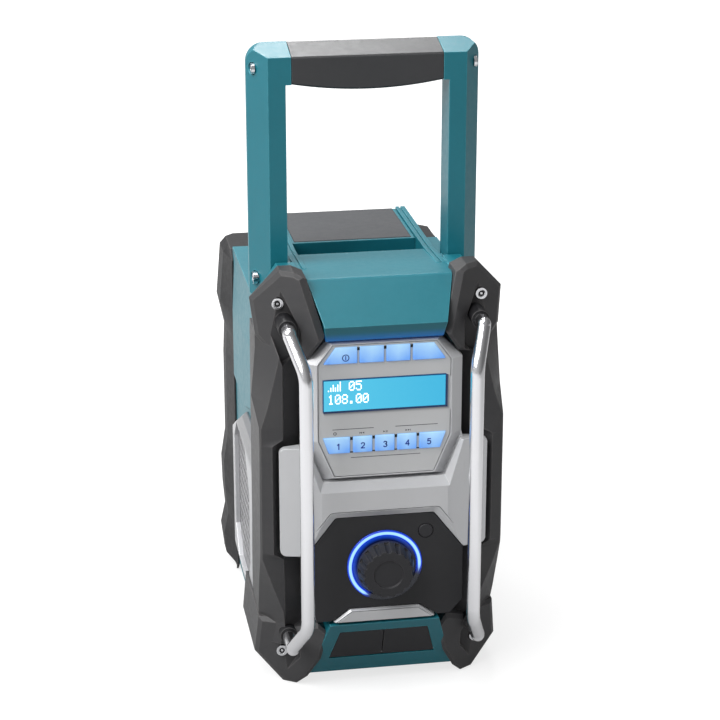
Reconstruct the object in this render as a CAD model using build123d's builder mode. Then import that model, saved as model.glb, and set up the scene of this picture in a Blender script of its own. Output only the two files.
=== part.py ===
"""Jobsite radio: rugged housing, folding handle, guard tubes and side-firing speakers.

Millimetres.  X is to the right, Y to the back, Z up.  The origin is on the floor,
at the centre of the footprint.  "Front" is -Y.  Half widths are measured from X = 0.
"""
from build123d import *
import os

os.makedirs("parts", exist_ok=True)

# ---------------------------------------------------------------- driving sizes
# Overall
wall = 3.0
fit_gap = 0.3
running_gap = 0.05

# Housing core
core_half = 75.0
core_front = -86.0
core_rear = 122.0
core_base = 9.0
core_corner = 10.0
shoulder_z = 257.0
split_y = -18.0

# Raised deck between the handle arms
deck_half = 50.0
deck_rear_z = 281.0
deck_rise = 6.0
deck_rear_y = 88.0
rail_inner = 43.3
rail_rise = 1.6
rail_front_rise = 0.5
rail_start_y = -60.0
rail_lip = 2.4
groove_width = 1.2
groove_depth = 1.2

# Sloping name panel above the display
nose_top_half = 47.3
nose_top_y = -90.0
nose_crease_half = 39.7
nose_crease_y = -115.0
nose_crease_z = 262.0
nose_foot_half = 38.2
nose_foot_y = -109.0
nose_foot_z = 251.0
nose_bevel = 0.9

# Sloping port frame at the foot of the front
sill_top_half = 37.0
sill_top_y = -113.5
sill_top_z = 52.0
sill_foot_half = 49.0
sill_foot_y = -95.5

# Slot behind the name panel, and the lidded box behind the slot
slot_front_y = -15.0
slot_rear_y = 12.0
slot_depth = 34.0
box_depth = 22.0
box_rear_y = 84.0
mat_margin = 2.0
mat_thickness = 2.5
lid_lip = 4.0

# Console: display module, band and wings
console_half = 53.0
console_face_y = -109.0
band_y = -113.5
band_half = 42.0
band_top_z = 154.0
display_top_half = 37.5
display_top_z = 250.0
display_shoulder_z = 235.0
display_side_half = 52.0
display_waist_z = 183.0
display_low_half = 40.5
frame_top_half = 34.0
frame_top_z = 248.3
frame_side_half = 43.7
frame_shoulder_z = 235.0
frame_waist_z = 183.0
frame_low_half = 33.0
frame_low_z = 157.4
frame_thickness = 2.5
bezel_wall = 2.5
wing_half = 68.9
wing_edge_y = -107.5
wing_thickness = 3.0
wing_top_z = 179.0
wing_low_z = 102.9
wing_corner = 4.0

# Display window and the boards behind it
window_half = 40.5
window_top_z = 225.0
window_low_z = 203.0
window_thickness = 3.4
window_proud = 0.8
window_bevel = 0.6
module_thickness = 7.0
module_margin = 4.0
board_thickness = 1.6
board_y = -91.5

# Keys
key_proud = 1.2
key_depth = 8.0
key_gap = 0.35
key_travel = 1.0
key_post_radius = 2.0
top_key_low_z = 235.8
top_key_high_z = 246.4
top_key_edges = [(-39.5, -18.2), (-16.2, -0.8), (1.2, 16.4), (18.6, 39.5)]
top_key_lean = 7.5
preset_low_z = 174.2
preset_high_z = 184.8
preset_edges = [(-36.5, -23.0), (-20.5, -8.3), (-6.0, 6.4), (8.6, 21.0), (23.2, 36.7)]
preset_lean = -3.6
key_flange = 0.8
key_flange_depth = 1.2

# Knob panel and tuning knob
panel_y = -111.3
panel_rim_y = -111.5
panel_back_y = -108.0
panel_corner = 3.0
panel_seam = 0.45
panel_top_half = 36.0
panel_top_z = 133.5
panel_shoulder_z = 110.5
panel_border = 4.2
panel_foot_half = 45.0
panel_foot_z = 54.0
sliver_top_half = 22.4
sliver_foot_half = 34.3
sliver_top_z = 61.4
sliver_foot_z = 53.6
knob_z = 93.0
knob_radius = 19.0
knob_face_radius = 16.4
knob_front_y = -127.0
knob_skirt_gap = 3.3
knob_skirt = 2.4
knob_dish_radius = 10.0
knob_flutes = 16
knob_flute_radius = 2.2
knob_hollow_depth = 8.0
knob_travel = 0.8
ring_outer_radius = 25.2
ring_inner_radius = 21.3
ring_proud = 1.0
shaft_radius = 3.0
shaft_flat = 1.0
bush_radius = 4.5
encoder_half = 7.0
encoder_depth = 8.0
pair_button_x = 27.6
pair_button_z = 116.0
pair_button_radius = 4.8

# Guard tubes
tube_radius = 4.5
tube_half = 55.0
tube_top_x = 62.7
tube_top_z = 260.3
tube_low_z = 39.5
tube_end_y = -118.0
tube_seat_y = -88.0
tube_bend_high_z = 238.0
tube_bend_low_z = 62.0
tube_bend_radius = 16.0
boot_radius = 5.8

# Front bumpers
bumper_foot_x = 65.5
bumper_apex_z = 293.0
bumper_crease = 2.5
bumper_inner_bevel = 5.0
screw_x = 66.7
screw_high_z = 272.3
screw_low_z = 25.5
screw_head_radius = 3.8
screw_head_proud = 1.0
screw_socket_radius = 2.5
screw_socket_depth = 0.9
screw_cup_radius = 4.6
screw_shank_radius = 2.0

# Rear bumpers and the bar between them
rear_bumper_front_y = 97.0
rear_bar_top_z = 254.0
rear_bar_height = 16.0
rear_bar_front_y = 112.0

# Speakers
speaker_outer = [(-62, 58), (-62, 150), (-52, 160), (12, 160), (78, 128), (78, 31), (-34, 26)]
speaker_inner = [
    (-24, 60), (-24, 112), (0, 138), (50, 138), (66, 122), (66, 52), (48, 34), (-4, 34),
]
speaker_y = 21.0
speaker_z = 86.0
speaker_proud = 4.5
speaker_bevel = 3.0
grille_thickness = 1.2
grille_lap = 3.0
grille_pitch = 8.0
grille_hole_radius = 3.1
flange_radius = 47.0
flange_thickness = 2.5
basket_radius = 43.0
basket_back_radius = 26.0
basket_depth = 22.0
basket_wall = 2.0
magnet_radius = 29.0
magnet_depth = 14.0
cone_radius = 39.0
cone_neck_radius = 12.0
cone_depth = 12.0

# Battery bay and its door
bay_half = 44.0
bay_low_z = 74.0
bay_high_z = 214.0
bay_front_y = 58.0
door_margin = 6.0
door_thickness = 3.0
door_bulge = 9.0
door_pin_radius = 2.0
door_knuckle_radius = 4.5
catch_half = 14.0
catch_height = 12.0
catch_travel = 4.0
rail_contact_half = 26.0
cell_cover_width = 60.0
cell_cover_height = 30.0

# Handle
arm_front_y = -45.3
arm_rear_y = -22.0
arm_clearance = 3.5
arm_width = 23.3
arm_slant = 11.8
arm_side_y = -26.0
pivot_y = -32.0
pivot_z = 272.0
grip_setback = 4.0
grip_rear_z = 427.5
grip_fall = 6.0
grip_height = 24.0
grip_bow = 4.5
grip_edge = 0.8
grip_palm_round = 2.5
arm_corner = 12.0
bolt_seat = 4.8
pivot_shank_radius = 3.0
pivot_head_radius = 4.4
pivot_head_depth = 3.0
antenna_radius = 2.0

# Ports
flap_top_half = 29.6
flap_foot_half = 36.0
flap_top_z = 45.0
flap_foot_z = 21.5
flap_thickness = 3.0
flap_pin_radius = 0.7
flap_pin_seat = 2.0
port_radius = 4.0
port_x = 17.0
port_depth = 14.0

# Feet
foot_radius = 9.0
foot_x = 38.0
foot_y = 70.0

# ------------------------------------------- sizes that follow from those above
deck_front_z = deck_rear_z + deck_rise
rail_z = deck_rear_z + rail_rise
arm_inner = deck_half + arm_clearance
arm_outer = arm_inner + arm_width
arm_chamfer_x = arm_outer - arm_slant
bolt_seat_x = arm_outer - bolt_seat
grip_half = arm_inner - grip_setback
grip_front_z = grip_rear_z - grip_fall
grip_low_z = grip_rear_z - grip_height
cheek_height = 2.0
lump_top_z = deck_front_z - 1.0
lump_ridge_x = 62.0
lump_side_z = 267.0
lump_front_y = core_front + 4.0
lump_rear_y = arm_front_y - 2.0
pivot_boss_radius = 10.0
deck_core_half = deck_half - 12.0
console_opening_half = 44.0
console_opening_low = 64.0
console_opening_high = 238.0
screw_end_y = core_front + 14.0
groove_x = rail_inner + rail_lip + groove_width / 2
slot_half = rail_inner
slot_floor_z = deck_rear_z - slot_depth
box_floor_z = deck_rear_z - box_depth
port_z = 33.0
rear_flange_y = 92.0
rear_flange_depth = 6.0
nose_sections = (
    (nose_foot_z, nose_foot_half, nose_foot_y),
    (nose_crease_z, nose_crease_half, nose_crease_y),
    (deck_front_z - nose_bevel, nose_top_half, nose_top_y - nose_bevel),
    (deck_front_z, nose_top_half, nose_top_y + nose_bevel / 2),
)
sill_sections = ((core_base, sill_foot_half, sill_foot_y), (sill_top_z, sill_top_half, sill_top_y))

main_board_front_y = -68.0
main_board_rear_y = 44.0
main_board_z = 20.0
main_board_half = 46.0
post_x = 40.0
post_radius = 3.0

# Bumpers, collars and tube line
upper_block_rear_y = -76.0
lower_block_rear_y = -8.0
well_floor_y = -91.0
screw_head_depth = 1.2
collars = ((tube_top_z, -108.0), (tube_low_z, -98.0))
tube_y = -136.0
rear_foot_half = 56.0
rear_bar_half = 53.7

# Speaker grille and basket
grille_rows = 9
basket_windows = 4

# Battery bay fittings
bulge_low_z = 80.0
bulge_high_z = 198.0
ear_gap = 0.5
terminal_z = 156.0
terminal_height = 70.0
cell_cover_z = 96.0

# Handle joints
arm_round = 13.3
arm_groove = 6.0
crossbar_half = arm_inner + 8.5
crossbar_y = pivot_y
crossbar_z = grip_rear_z - 15.0
crossbar_depth = 12.0
crossbar_height = 11.0
handle_screw_tip_x = crossbar_half - 8.0
antenna_half = handle_screw_tip_x - 2.0

# Port flaps
flap_gap = 0.6

# Depths inside the console
trunk_front_y = -104.0
band_side_y = -111.1
cavity_front_y = -101.5
rim_proud = 0.6
frame_lap = 0.8
frame_seam = 0.4
switch_room = 1.7
ring_depth = 3.0
mat_proud = 0.5
board_posts = ((45.5, 190.0), (39.0, 74.0))
board_post_radius = 3.0
board_side = [(32.0, 240.0), (48.0, 228.0), (48.0, 90.0), (41.0, 66.0)]
shaft_back_y = -101.0
shaft_front_y = knob_front_y + 3.0
plunger_back_y = -95.0
plunger_radius = 2.0

# Battery door: pin line, catch and keeper
door_half = bay_half + door_margin
door_pin_y = core_rear + 5.0
door_pin_z = bay_low_z - 10.0
door_low_z = door_pin_z + 1.0
door_high_z = bay_high_z + door_margin
ear_width = 8.0
ear_inner = door_half - 12.0
catch_front_y = core_rear + 4.0
catch_rear_y = catch_front_y + 4.0
catch_lip = 3.0
catch_low_z = door_high_z - 16.0
keeper_half = catch_half + 4.0
keeper_low_z = door_high_z + 1.5
keeper_height = 7.0
keeper_wall = 2.5
keeper_rear_y = catch_rear_y + 3.0

SIDES = ((1, "right"), (-1, "left"))

# Face of the port frame, and heights along it
sill_rise = Vector(0, sill_top_y - sill_foot_y, sill_top_z - core_base).normalized()
sill_plane = Plane(
    origin=(0, sill_foot_y, core_base), x_dir=(1, 0, 0), z_dir=Vector(1, 0, 0).cross(sill_rise)
)


def sill_v(z):
    """Distance up the port frame's face to height z."""
    return (z - core_base) / sill_rise.Z


def sill_point(x, v, w):
    """A place given across, up and out of the port frame's face."""
    return tuple(sill_plane.from_local_coords(Vector(x, v, w)))


flap_low_v = sill_v(flap_foot_z)
flap_high_v = sill_v(flap_top_z)
flap_pin_v = flap_low_v + flap_thickness / 2
flap_pin_w = -flap_thickness / 2
flap_pin_half = flap_foot_half - (flap_foot_half - flap_top_half) * (flap_pin_v - flap_low_v) / (
    flap_high_v - flap_low_v)
flap_pin_end = flap_foot_half + flap_pin_seat


# ------------------------------------------------------------------- planes
def front_plane(y):
    """A plane at depth y that faces the front; drawn in X and Z."""
    return Plane.XZ.offset(-y)


def side_plane(x):
    """A plane at x that faces +X; drawn in Y and Z."""
    return Plane.YZ.offset(x)


def level(z):
    """A level plane at height z; drawn in X and Y."""
    return Plane.XY.offset(z)


def outline(points):
    """A closed straight-sided face in the running sketch, at the points given."""
    Polygon(*points, align=None)


def both_halves(half):
    """Closed outline from the points of its right half, listed from top to bottom."""
    return list(half) + [(-x, z) for x, z in reversed(half)]


def slab(centre_x, centre_y, centre_z, size_x, size_y, size_z, mode=Mode.ADD):
    """A block with its centre at the given place."""
    with Locations((centre_x, centre_y, centre_z)):
        Box(size_x, size_y, size_z, mode=mode)


def rod(start, end, radius, mode=Mode.ADD):
    """A round bar between two points."""
    span = Vector(*end) - Vector(*start)
    with Locations(Plane(origin=start, z_dir=span.normalized()).location):
        Cylinder(radius, span.length, align=(Align.CENTER, Align.CENTER, Align.MIN), mode=mode)


def finish(part, label):
    """Name a finished piece and write it."""
    part.label = label
    export_step(part, f"parts/{label}.step")
    return part


def mirrored(part):
    """The same piece on the other side of the radio."""
    return mirror(part, about=Plane.YZ)


def plane_through(a, b, c):
    """The plane through three corners, facing the front."""
    normal = (Vector(*b) - Vector(*a)).cross(Vector(*c) - Vector(*a)).normalized()
    if normal.Y > 0:
        normal = normal * -1
    return Plane(origin=a, x_dir=(Vector(*b) - Vector(*a)).normalized(), z_dir=normal)


def deck_z(y):
    """Height of the deck, which falls gently from the name panel to the slot."""
    fall = (deck_rear_z - deck_front_z) / (slot_front_y - core_front)
    return deck_front_z + min(y - core_front, slot_front_y - core_front) * fall


def rail_profile(low, high):
    """Side outline that follows the top of the rails, between two heights from it."""
    line = [
        (rail_start_y, deck_z(rail_start_y) + rail_front_rise), (slot_front_y, rail_z), (deck_rear_y, rail_z),
    ]
    return [(y, z + low) for y, z in line] + [(y, z + high) for y, z in reversed(line)]


# ------------------------------------------------------------ shared outlines
def core_plan(front, rear, inset=0.0):
    """Plan of the housing core between two depths, with bevelled end corners."""
    half = core_half - inset
    front_bevel = core_corner if front == core_front else 0.0
    rear_bevel = core_corner if rear == core_rear else 0.0
    front_in = front + (inset if front_bevel else 0.0)
    rear_in = rear - (inset if rear_bevel else 0.0)
    right = [(half - rear_bevel, rear_in), (half, rear_in - rear_bevel)]
    right += [(half, front_in + front_bevel), (half - front_bevel, front_in)]
    points = []
    for x, y in both_halves(right):
        if (x, y) not in points:
            points.append((x, y))
    return points


display_side = [
    (display_top_half, display_top_z), (display_side_half, display_shoulder_z),
    (display_side_half, display_waist_z), (display_low_half, band_top_z),
]
display_outline = both_halves(display_side)
frame_outline = both_halves([
    (frame_top_half, frame_top_z), (frame_side_half, frame_shoulder_z),
    (frame_side_half, frame_waist_z), (frame_low_half, frame_low_z),
])
trunk_outline = both_halves([
    (display_top_half, display_top_z), (display_side_half, display_shoulder_z),
    (display_side_half, display_waist_z), (console_half, wing_top_z),
    (console_half, panel_foot_z + 10), (panel_foot_half, panel_foot_z),
])

# ------------------------------------------------- side panels and housing forms
# Raised panel on the side, above the speaker: its top face leans in from the crease
with BuildPart() as cheek:
    with BuildSketch(side_plane(core_half)):
        outline([(-46, 180), (17, 160.6), (84, 160.6), (84, 250), (-46, 250)])
    with BuildSketch(side_plane(core_half + cheek_height)):
        outline([(-46, 182), (17.5, 163), (82, 163), (82, 213), (-46, 220)])
    loft(ruled=True)

with BuildPart() as front_form:
    with BuildSketch(level(core_base)):
        outline(core_plan(core_front, split_y))
    extrude(amount=shoulder_z - core_base)
    # deck between the arms
    with BuildSketch(side_plane(-deck_half)):
        outline([
            (split_y, shoulder_z), (split_y, deck_z(split_y)),
            (core_front, deck_z(core_front)), (core_front, shoulder_z),
        ])
    extrude(amount=2 * deck_half)
    # name panel: a block that leans forward to its crease, then falls back
    for low, high in ((0, 1), (1, 2), (2, 3)):
        for z, half, y in (nose_sections[low], nose_sections[high]):
            with BuildSketch(level(z)):
                outline(both_halves([(half, core_front), (half, y)]))
        loft(ruled=True)
    # port frame at the foot
    for z, half, y in sill_sections:
        with BuildSketch(level(z)):
            outline(both_halves([(half, core_front), (half, y)]))
    loft(ruled=True)
    # shoulders in front of the arms, and the bosses that the arms turn against
    for side, tag in SIDES:
        with BuildSketch(front_plane(lump_rear_y)):
            outline([
                (side * deck_half, shoulder_z), (side * deck_half, lump_top_z),
                (side * lump_ridge_x, lump_top_z), (side * core_half, lump_side_z),
                (side * core_half, shoulder_z),
            ])
        extrude(amount=lump_rear_y - lump_front_y)
        rod(
            (side * deck_half, pivot_y, pivot_z),
            (side * (arm_inner - fit_gap), pivot_y, pivot_z),
            pivot_boss_radius,
        )
        # rail beside the deck
        with BuildSketch(side_plane(side * rail_inner)):
            outline(rail_profile(-deck_rise - wall, 0))
        extrude(amount=side * (deck_half - rail_inner))
        add(cheek.part if side > 0 else mirrored(cheek.part))
    slab(0, split_y + core_rear, shoulder_z / 2 + core_base, 4 * core_half, 2 * core_rear,
         shoulder_z + 99, mode=Mode.SUBTRACT)

# ------------------------------------------------------------- front housing
with BuildPart() as front_housing:
    add(front_form.part)
    with BuildSketch(level(core_base + wall)):
        outline(core_plan(core_front, split_y, wall))
    extrude(amount=shoulder_z - core_base - 2 * wall, mode=Mode.SUBTRACT)
    slab(
        0, (core_front + wall + split_y) / 2, shoulder_z + 8,
        2 * deck_core_half, split_y - core_front - wall, 24, mode=Mode.SUBTRACT,
    )
    # opening behind the console
    slab(0, core_front, (console_opening_low + console_opening_high) / 2,
         2 * console_opening_half, 4 * wall, console_opening_high - console_opening_low,
         mode=Mode.SUBTRACT)
    # speaker openings in the side walls
    for side, tag in SIDES:
        with BuildSketch(side_plane(side * core_half)):
            outline(speaker_inner)
        extrude(amount=-side * 2 * wall, mode=Mode.SUBTRACT)
    # pivot bores, bumper screw bores and rail grooves
    for side, tag in SIDES:
        rod((side * deck_core_half, pivot_y, pivot_z), (side * arm_inner, pivot_y, pivot_z),
            pivot_shank_radius, mode=Mode.SUBTRACT)
        for z in (screw_low_z, screw_high_z):
            rod((side * screw_x, core_front, z), (side * screw_x, screw_end_y, z),
                screw_shank_radius, mode=Mode.SUBTRACT)
        with BuildSketch(side_plane(side * (groove_x - groove_width / 2))):
            outline(rail_profile(-groove_depth, deck_rise))
        extrude(amount=side * groove_width, mode=Mode.SUBTRACT)
    # recess behind the port flaps, and the two jack bores
    with BuildSketch(sill_plane):
        outline(both_halves([
            (flap_top_half + fit_gap, sill_v(flap_top_z) + fit_gap),
            (flap_foot_half + fit_gap, sill_v(flap_foot_z) - fit_gap),
        ]))
    extrude(amount=-flap_thickness - fit_gap, mode=Mode.SUBTRACT)
    # seats of the flap pin in the side walls
    rod(sill_point(-flap_pin_end, flap_pin_v, flap_pin_w), sill_point(flap_pin_end, flap_pin_v, flap_pin_w),
        flap_pin_radius, mode=Mode.SUBTRACT)
    for side, tag in SIDES:
        with Locations(sill_plane.offset(-flap_thickness).location):
            with Locations((side * port_x, sill_v(port_z), 0)):
                Cylinder(port_radius, port_depth, mode=Mode.SUBTRACT,
                         align=(Align.CENTER, Align.CENTER, Align.MAX))
    # posts under the amplifier board
    for side, tag in SIDES:
        rod((side * post_x, main_board_front_y + 6, core_base + wall),
            (side * post_x, main_board_front_y + 6, main_board_z), post_radius)
finish(front_housing.part, "front_housing")

# -------------------------------------------------------------- rear housing
with BuildPart() as rear_form:
    with BuildSketch(level(core_base)):
        outline(core_plan(split_y, core_rear))
    extrude(amount=shoulder_z - core_base)
    # step for the rear bumper's top flange
    slab(0, (rear_flange_y + core_rear) / 2, shoulder_z, 2 * core_half, core_rear - rear_flange_y,
         2 * rear_flange_depth, mode=Mode.SUBTRACT)
    with BuildSketch(side_plane(-deck_half)):
        outline([
            (split_y, shoulder_z), (split_y, deck_z(split_y)), (slot_front_y, deck_rear_z),
            (deck_rear_y, deck_rear_z), (deck_rear_y, shoulder_z),
        ])
    extrude(amount=2 * deck_half)
    for side, tag in SIDES:
        with BuildSketch(side_plane(side * rail_inner)):
            outline(rail_profile(-deck_rise - wall, 0))
        extrude(amount=side * (deck_half - rail_inner))
        add(cheek.part if side > 0 else mirrored(cheek.part))
    slab(0, split_y - core_rear, shoulder_z / 2 + core_base, 4 * core_half, 2 * core_rear,
         shoulder_z + 99, mode=Mode.SUBTRACT)

with BuildPart() as rear_housing:
    add(rear_form.part)
    with BuildSketch(level(core_base + wall)):
        outline(core_plan(split_y, core_rear, wall))
    extrude(amount=shoulder_z - core_base - rear_flange_depth - 2 * wall, mode=Mode.SUBTRACT)
    # slot tub, then the slot and the pocket of the top box
    slab(0, (slot_front_y + slot_rear_y) / 2, (slot_floor_z - wall + shoulder_z) / 2,
         2 * (slot_half + wall), slot_rear_y - slot_front_y + 2 * wall - 1,
         shoulder_z - slot_floor_z + wall)
    slab(0, (slot_front_y + slot_rear_y) / 2, (slot_floor_z + rail_z) / 2 + 1,
         2 * slot_half, slot_rear_y - slot_front_y, rail_z - slot_floor_z + 2, mode=Mode.SUBTRACT)
    slab(0, (slot_rear_y + box_rear_y) / 2, (box_floor_z + rail_z) / 2 + 1,
         2 * rail_inner, box_rear_y - slot_rear_y, rail_z - box_floor_z + 2, mode=Mode.SUBTRACT)
    # the rear wall of the box is lower, under the lip of the lid
    slab(0, deck_rear_y, deck_rear_z, 2 * rail_inner, 2 * (deck_rear_y - box_rear_y) + 1, 2 * lid_lip,
         mode=Mode.SUBTRACT)
    # battery bay: walls first, then the bay
    slab(0, (bay_front_y + core_rear) / 2 - wall, (bay_low_z + bay_high_z) / 2,
         2 * (bay_half + wall), core_rear - bay_front_y, bay_high_z - bay_low_z + 2 * wall)
    slab(0, (bay_front_y + core_rear) / 2 + wall, (bay_low_z + bay_high_z) / 2,
         2 * bay_half, core_rear - bay_front_y + 2 * wall, bay_high_z - bay_low_z, mode=Mode.SUBTRACT)
    for side, tag in SIDES:
        with BuildSketch(side_plane(side * core_half)):
            outline(speaker_inner)
        extrude(amount=-side * 2 * wall, mode=Mode.SUBTRACT)
        with BuildSketch(side_plane(side * (groove_x - groove_width / 2))):
            outline(rail_profile(-groove_depth, deck_rise))
        extrude(amount=side * groove_width, mode=Mode.SUBTRACT)
        # hinge ears of the battery door
        with BuildSketch(side_plane(side * ear_inner)):
            outline([
                (core_rear, door_pin_z - door_knuckle_radius),
                (door_pin_y, door_pin_z - door_knuckle_radius),
                (door_pin_y, door_pin_z + door_knuckle_radius),
                (core_rear, door_pin_z + door_knuckle_radius),
            ])
            with Locations((door_pin_y, door_pin_z)):
                Circle(door_knuckle_radius)
                Circle(door_pin_radius, mode=Mode.SUBTRACT)
        extrude(amount=side * ear_width)
    for side, tag in SIDES:
        rod((side * post_x, main_board_rear_y - 6, core_base + wall),
            (side * post_x, main_board_rear_y - 6, main_board_z), post_radius)
finish(rear_housing.part, "rear_housing")

# ------------------------------------------------------ top box lid and its mat
lid_half = rail_inner - fit_gap
lid_front_y = slot_rear_y + fit_gap
lid_rear_y = box_rear_y - fit_gap
mat_half = lid_half - mat_margin
mat_front_y = lid_front_y + mat_margin
mat_rear_y = deck_rear_y

with BuildPart() as top_cover:
    slab(0, (lid_front_y + lid_rear_y) / 2, (box_floor_z + deck_rear_z) / 2,
         2 * lid_half, lid_rear_y - lid_front_y, deck_rear_z - box_floor_z)
    slab(0, (lid_front_y + lid_rear_y) / 2, (box_floor_z + deck_rear_z) / 2 - 2 * wall,
         2 * (lid_half - wall), lid_rear_y - lid_front_y - 2 * wall, deck_rear_z - box_floor_z,
         mode=Mode.SUBTRACT)
    # lip over the rear wall, then the tray of the mat, which is open to the rear
    slab(0, (box_rear_y + deck_rear_y) / 2 - fit_gap, deck_rear_z + (fit_gap - lid_lip) / 2, 2 * lid_half,
         deck_rear_y - box_rear_y + 2 * fit_gap, lid_lip - fit_gap)
    slab(0, (mat_front_y + mat_rear_y) / 2 + 1, deck_rear_z, 2 * mat_half, mat_rear_y - mat_front_y + 2,
         2 * (mat_thickness - mat_proud), mode=Mode.SUBTRACT)
finish(top_cover.part, "top_cover")

with BuildPart() as top_mat:
    slab(0, (mat_front_y + mat_rear_y) / 2, deck_rear_z + mat_proud - mat_thickness / 2,
         2 * (mat_half - running_gap), mat_rear_y - mat_front_y - 2 * running_gap, mat_thickness)
    chamfer(top_mat.faces().sort_by(Axis.Z)[-1].edges(), mat_proud)
finish(top_mat.part, "top_mat")

# ----------------------------------------------------------------------- console
def rounded_outline(points, radius, count):
    """A closed face at the points given, with its highest corners rounded."""
    with BuildSketch() as shape:
        outline(points)
        fillet(sorted(shape.vertices(), key=lambda v: v.Y)[-count:], radius=radius)
    return shape.sketch


def wing_block(gap):
    """The right wing, grown by a gap; with a gap it also runs on to the front."""
    low = wing_low_z - gap
    back = wing_thickness + gap
    front = [(band_half, band_y), (wing_half, wing_edge_y)]
    if gap:
        front = [(console_half - 1, 2 * band_y), (wing_half + gap, 2 * band_y)]
    with BuildPart() as block:
        with BuildSketch(level(low)):
            outline(front + [(wing_half + gap, wing_edge_y + back), (console_half - 1, trunk_front_y + back)])
        extrude(amount=wing_top_z + gap - low)
        fillet(block.faces().sort_by(Axis.X)[-1].edges().filter_by(Axis.Y), radius=wing_corner + gap)
    return block.part


with BuildPart() as front_bezel:
    with BuildSketch(front_plane(core_front)):
        outline(trunk_outline)
    extrude(amount=core_front - trunk_front_y)
    # band across the middle, in one piece with the wings beside it
    with BuildSketch(level(panel_foot_z)):
        outline(both_halves([
            (console_half, trunk_front_y), (console_half, band_side_y), (band_half, band_y),
        ]))
    extrude(amount=wing_top_z - panel_foot_z)
    band_cut = console_half - panel_foot_half
    for side, tag in SIDES:
        add(wing_block(0) if side > 0 else mirrored(wing_block(0)))
        # lower outer corner of the band
        with BuildSketch(front_plane(trunk_front_y + wing_thickness)):
            outline([
                (side * (console_half + 0.1), panel_foot_z - 0.1),
                (side * (console_half + 0.1), panel_foot_z + band_cut),
                (side * panel_foot_half, panel_foot_z - 0.1),
            ])
        extrude(amount=trunk_front_y + wing_thickness - band_y, mode=Mode.SUBTRACT)
    # the band falls back in a bevel to the display module
    display_foot = [(display_side_half, 200), (display_side_half, display_waist_z),
                    (display_low_half, band_top_z)]
    band_lip = [(display_side_half + 4, 200), (display_side_half + 4, display_waist_z - 1.5),
                (display_low_half + 3.5, band_top_z - 8)]
    with BuildSketch(front_plane(trunk_front_y)):
        outline(both_halves(display_foot))
    extrude(amount=trunk_front_y - console_face_y, mode=Mode.SUBTRACT)
    with BuildSketch(front_plane(console_face_y)):
        outline(both_halves(display_foot))
    with BuildSketch(front_plane(band_y - 1.5)):
        outline(both_halves(band_lip))
    loft(ruled=True, mode=Mode.SUBTRACT)
    # bevelled rim of the display module
    with BuildSketch(front_plane(trunk_front_y)):
        outline(display_outline)
    with BuildSketch(front_plane(console_face_y - rim_proud)):
        outline(frame_outline)
        offset(amount=rim_proud, kind=Kind.INTERSECTION)
    loft(ruled=True)
    # recess of the knob panel, which leaves a small tongue at its foot
    recess_rim = [(panel_top_half, panel_top_z), (console_half + 0.5, panel_shoulder_z),
                  (console_half + 0.5, panel_foot_z - 1), (sliver_foot_half, panel_foot_z - 1),
                  (sliver_top_half, sliver_top_z)]
    recess_floor = [(panel_top_half - 3, panel_top_z - panel_border),
                    (console_half + 0.5, panel_shoulder_z - 2 * panel_border + 0.5),
                    (console_half + 0.5, panel_foot_z - 1), (sliver_foot_half + 1.2, panel_foot_z - 1),
                    (sliver_top_half + 0.8, sliver_top_z + 1)]
    rim_face = rounded_outline(both_halves(recess_rim), panel_corner, 2)
    floor_face = rounded_outline(both_halves(recess_floor), panel_corner, 2)
    with BuildSketch(front_plane(band_y)):
        add(rim_face)
    with BuildSketch(front_plane(panel_rim_y)):
        add(floor_face)
    loft(ruled=True, mode=Mode.SUBTRACT)
    with BuildSketch(front_plane(panel_back_y)):
        add(floor_face)
    extrude(amount=panel_back_y - band_y, mode=Mode.SUBTRACT)
    # seam round the sloping border
    with BuildSketch(front_plane(band_y + 1)):
        add(offset(rim_face, panel_seam, kind=Kind.INTERSECTION, mode=Mode.PRIVATE))
        add(rim_face, mode=Mode.SUBTRACT)
    extrude(amount=3, mode=Mode.SUBTRACT)
    # hollow behind
    with BuildSketch(front_plane(core_front)):
        outline(trunk_outline)
        offset(amount=-bezel_wall, kind=Kind.INTERSECTION)
    extrude(amount=core_front - cavity_front_y, mode=Mode.SUBTRACT)
    # seat of the display frame, and the window through to the hollow
    with BuildSketch(front_plane(console_face_y + frame_thickness)):
        outline(frame_outline)
    extrude(amount=3 * frame_thickness, mode=Mode.SUBTRACT)
    with BuildSketch(front_plane(cavity_front_y)):
        outline(frame_outline)
        offset(amount=-frame_lap, kind=Kind.INTERSECTION)
    extrude(amount=cavity_front_y - console_face_y, mode=Mode.SUBTRACT)
    # bores behind the knob and the pairing button, and posts for the board
    rod((0, cavity_front_y, knob_z), (0, panel_back_y, knob_z), bush_radius + fit_gap, mode=Mode.SUBTRACT)
    rod((pair_button_x, cavity_front_y, pair_button_z), (pair_button_x, panel_back_y, pair_button_z),
        pair_button_radius + key_gap, mode=Mode.SUBTRACT)
    rod((pair_button_x, cavity_front_y, pair_button_z),
        (pair_button_x, panel_back_y + key_flange_depth, pair_button_z),
        pair_button_radius + 2 * key_flange + key_gap, mode=Mode.SUBTRACT)
    for side, tag in SIDES:
        for x, z in board_posts:
            rod((side * x, cavity_front_y, z), (side * x, board_y, z), board_post_radius)
finish(front_bezel.part, "front_bezel")


def key_outline(edges, low, high, outer, lean):
    """Outline of one key; the outermost edge of a row leans by the amount given."""
    left, right = edges
    left_top = left + (lean if left == -outer[0] else 0.0)
    right_top = right - (lean if right == outer[1] else 0.0)
    return [(left, low), (left_top, high), (right_top, high), (right, low)]


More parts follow.
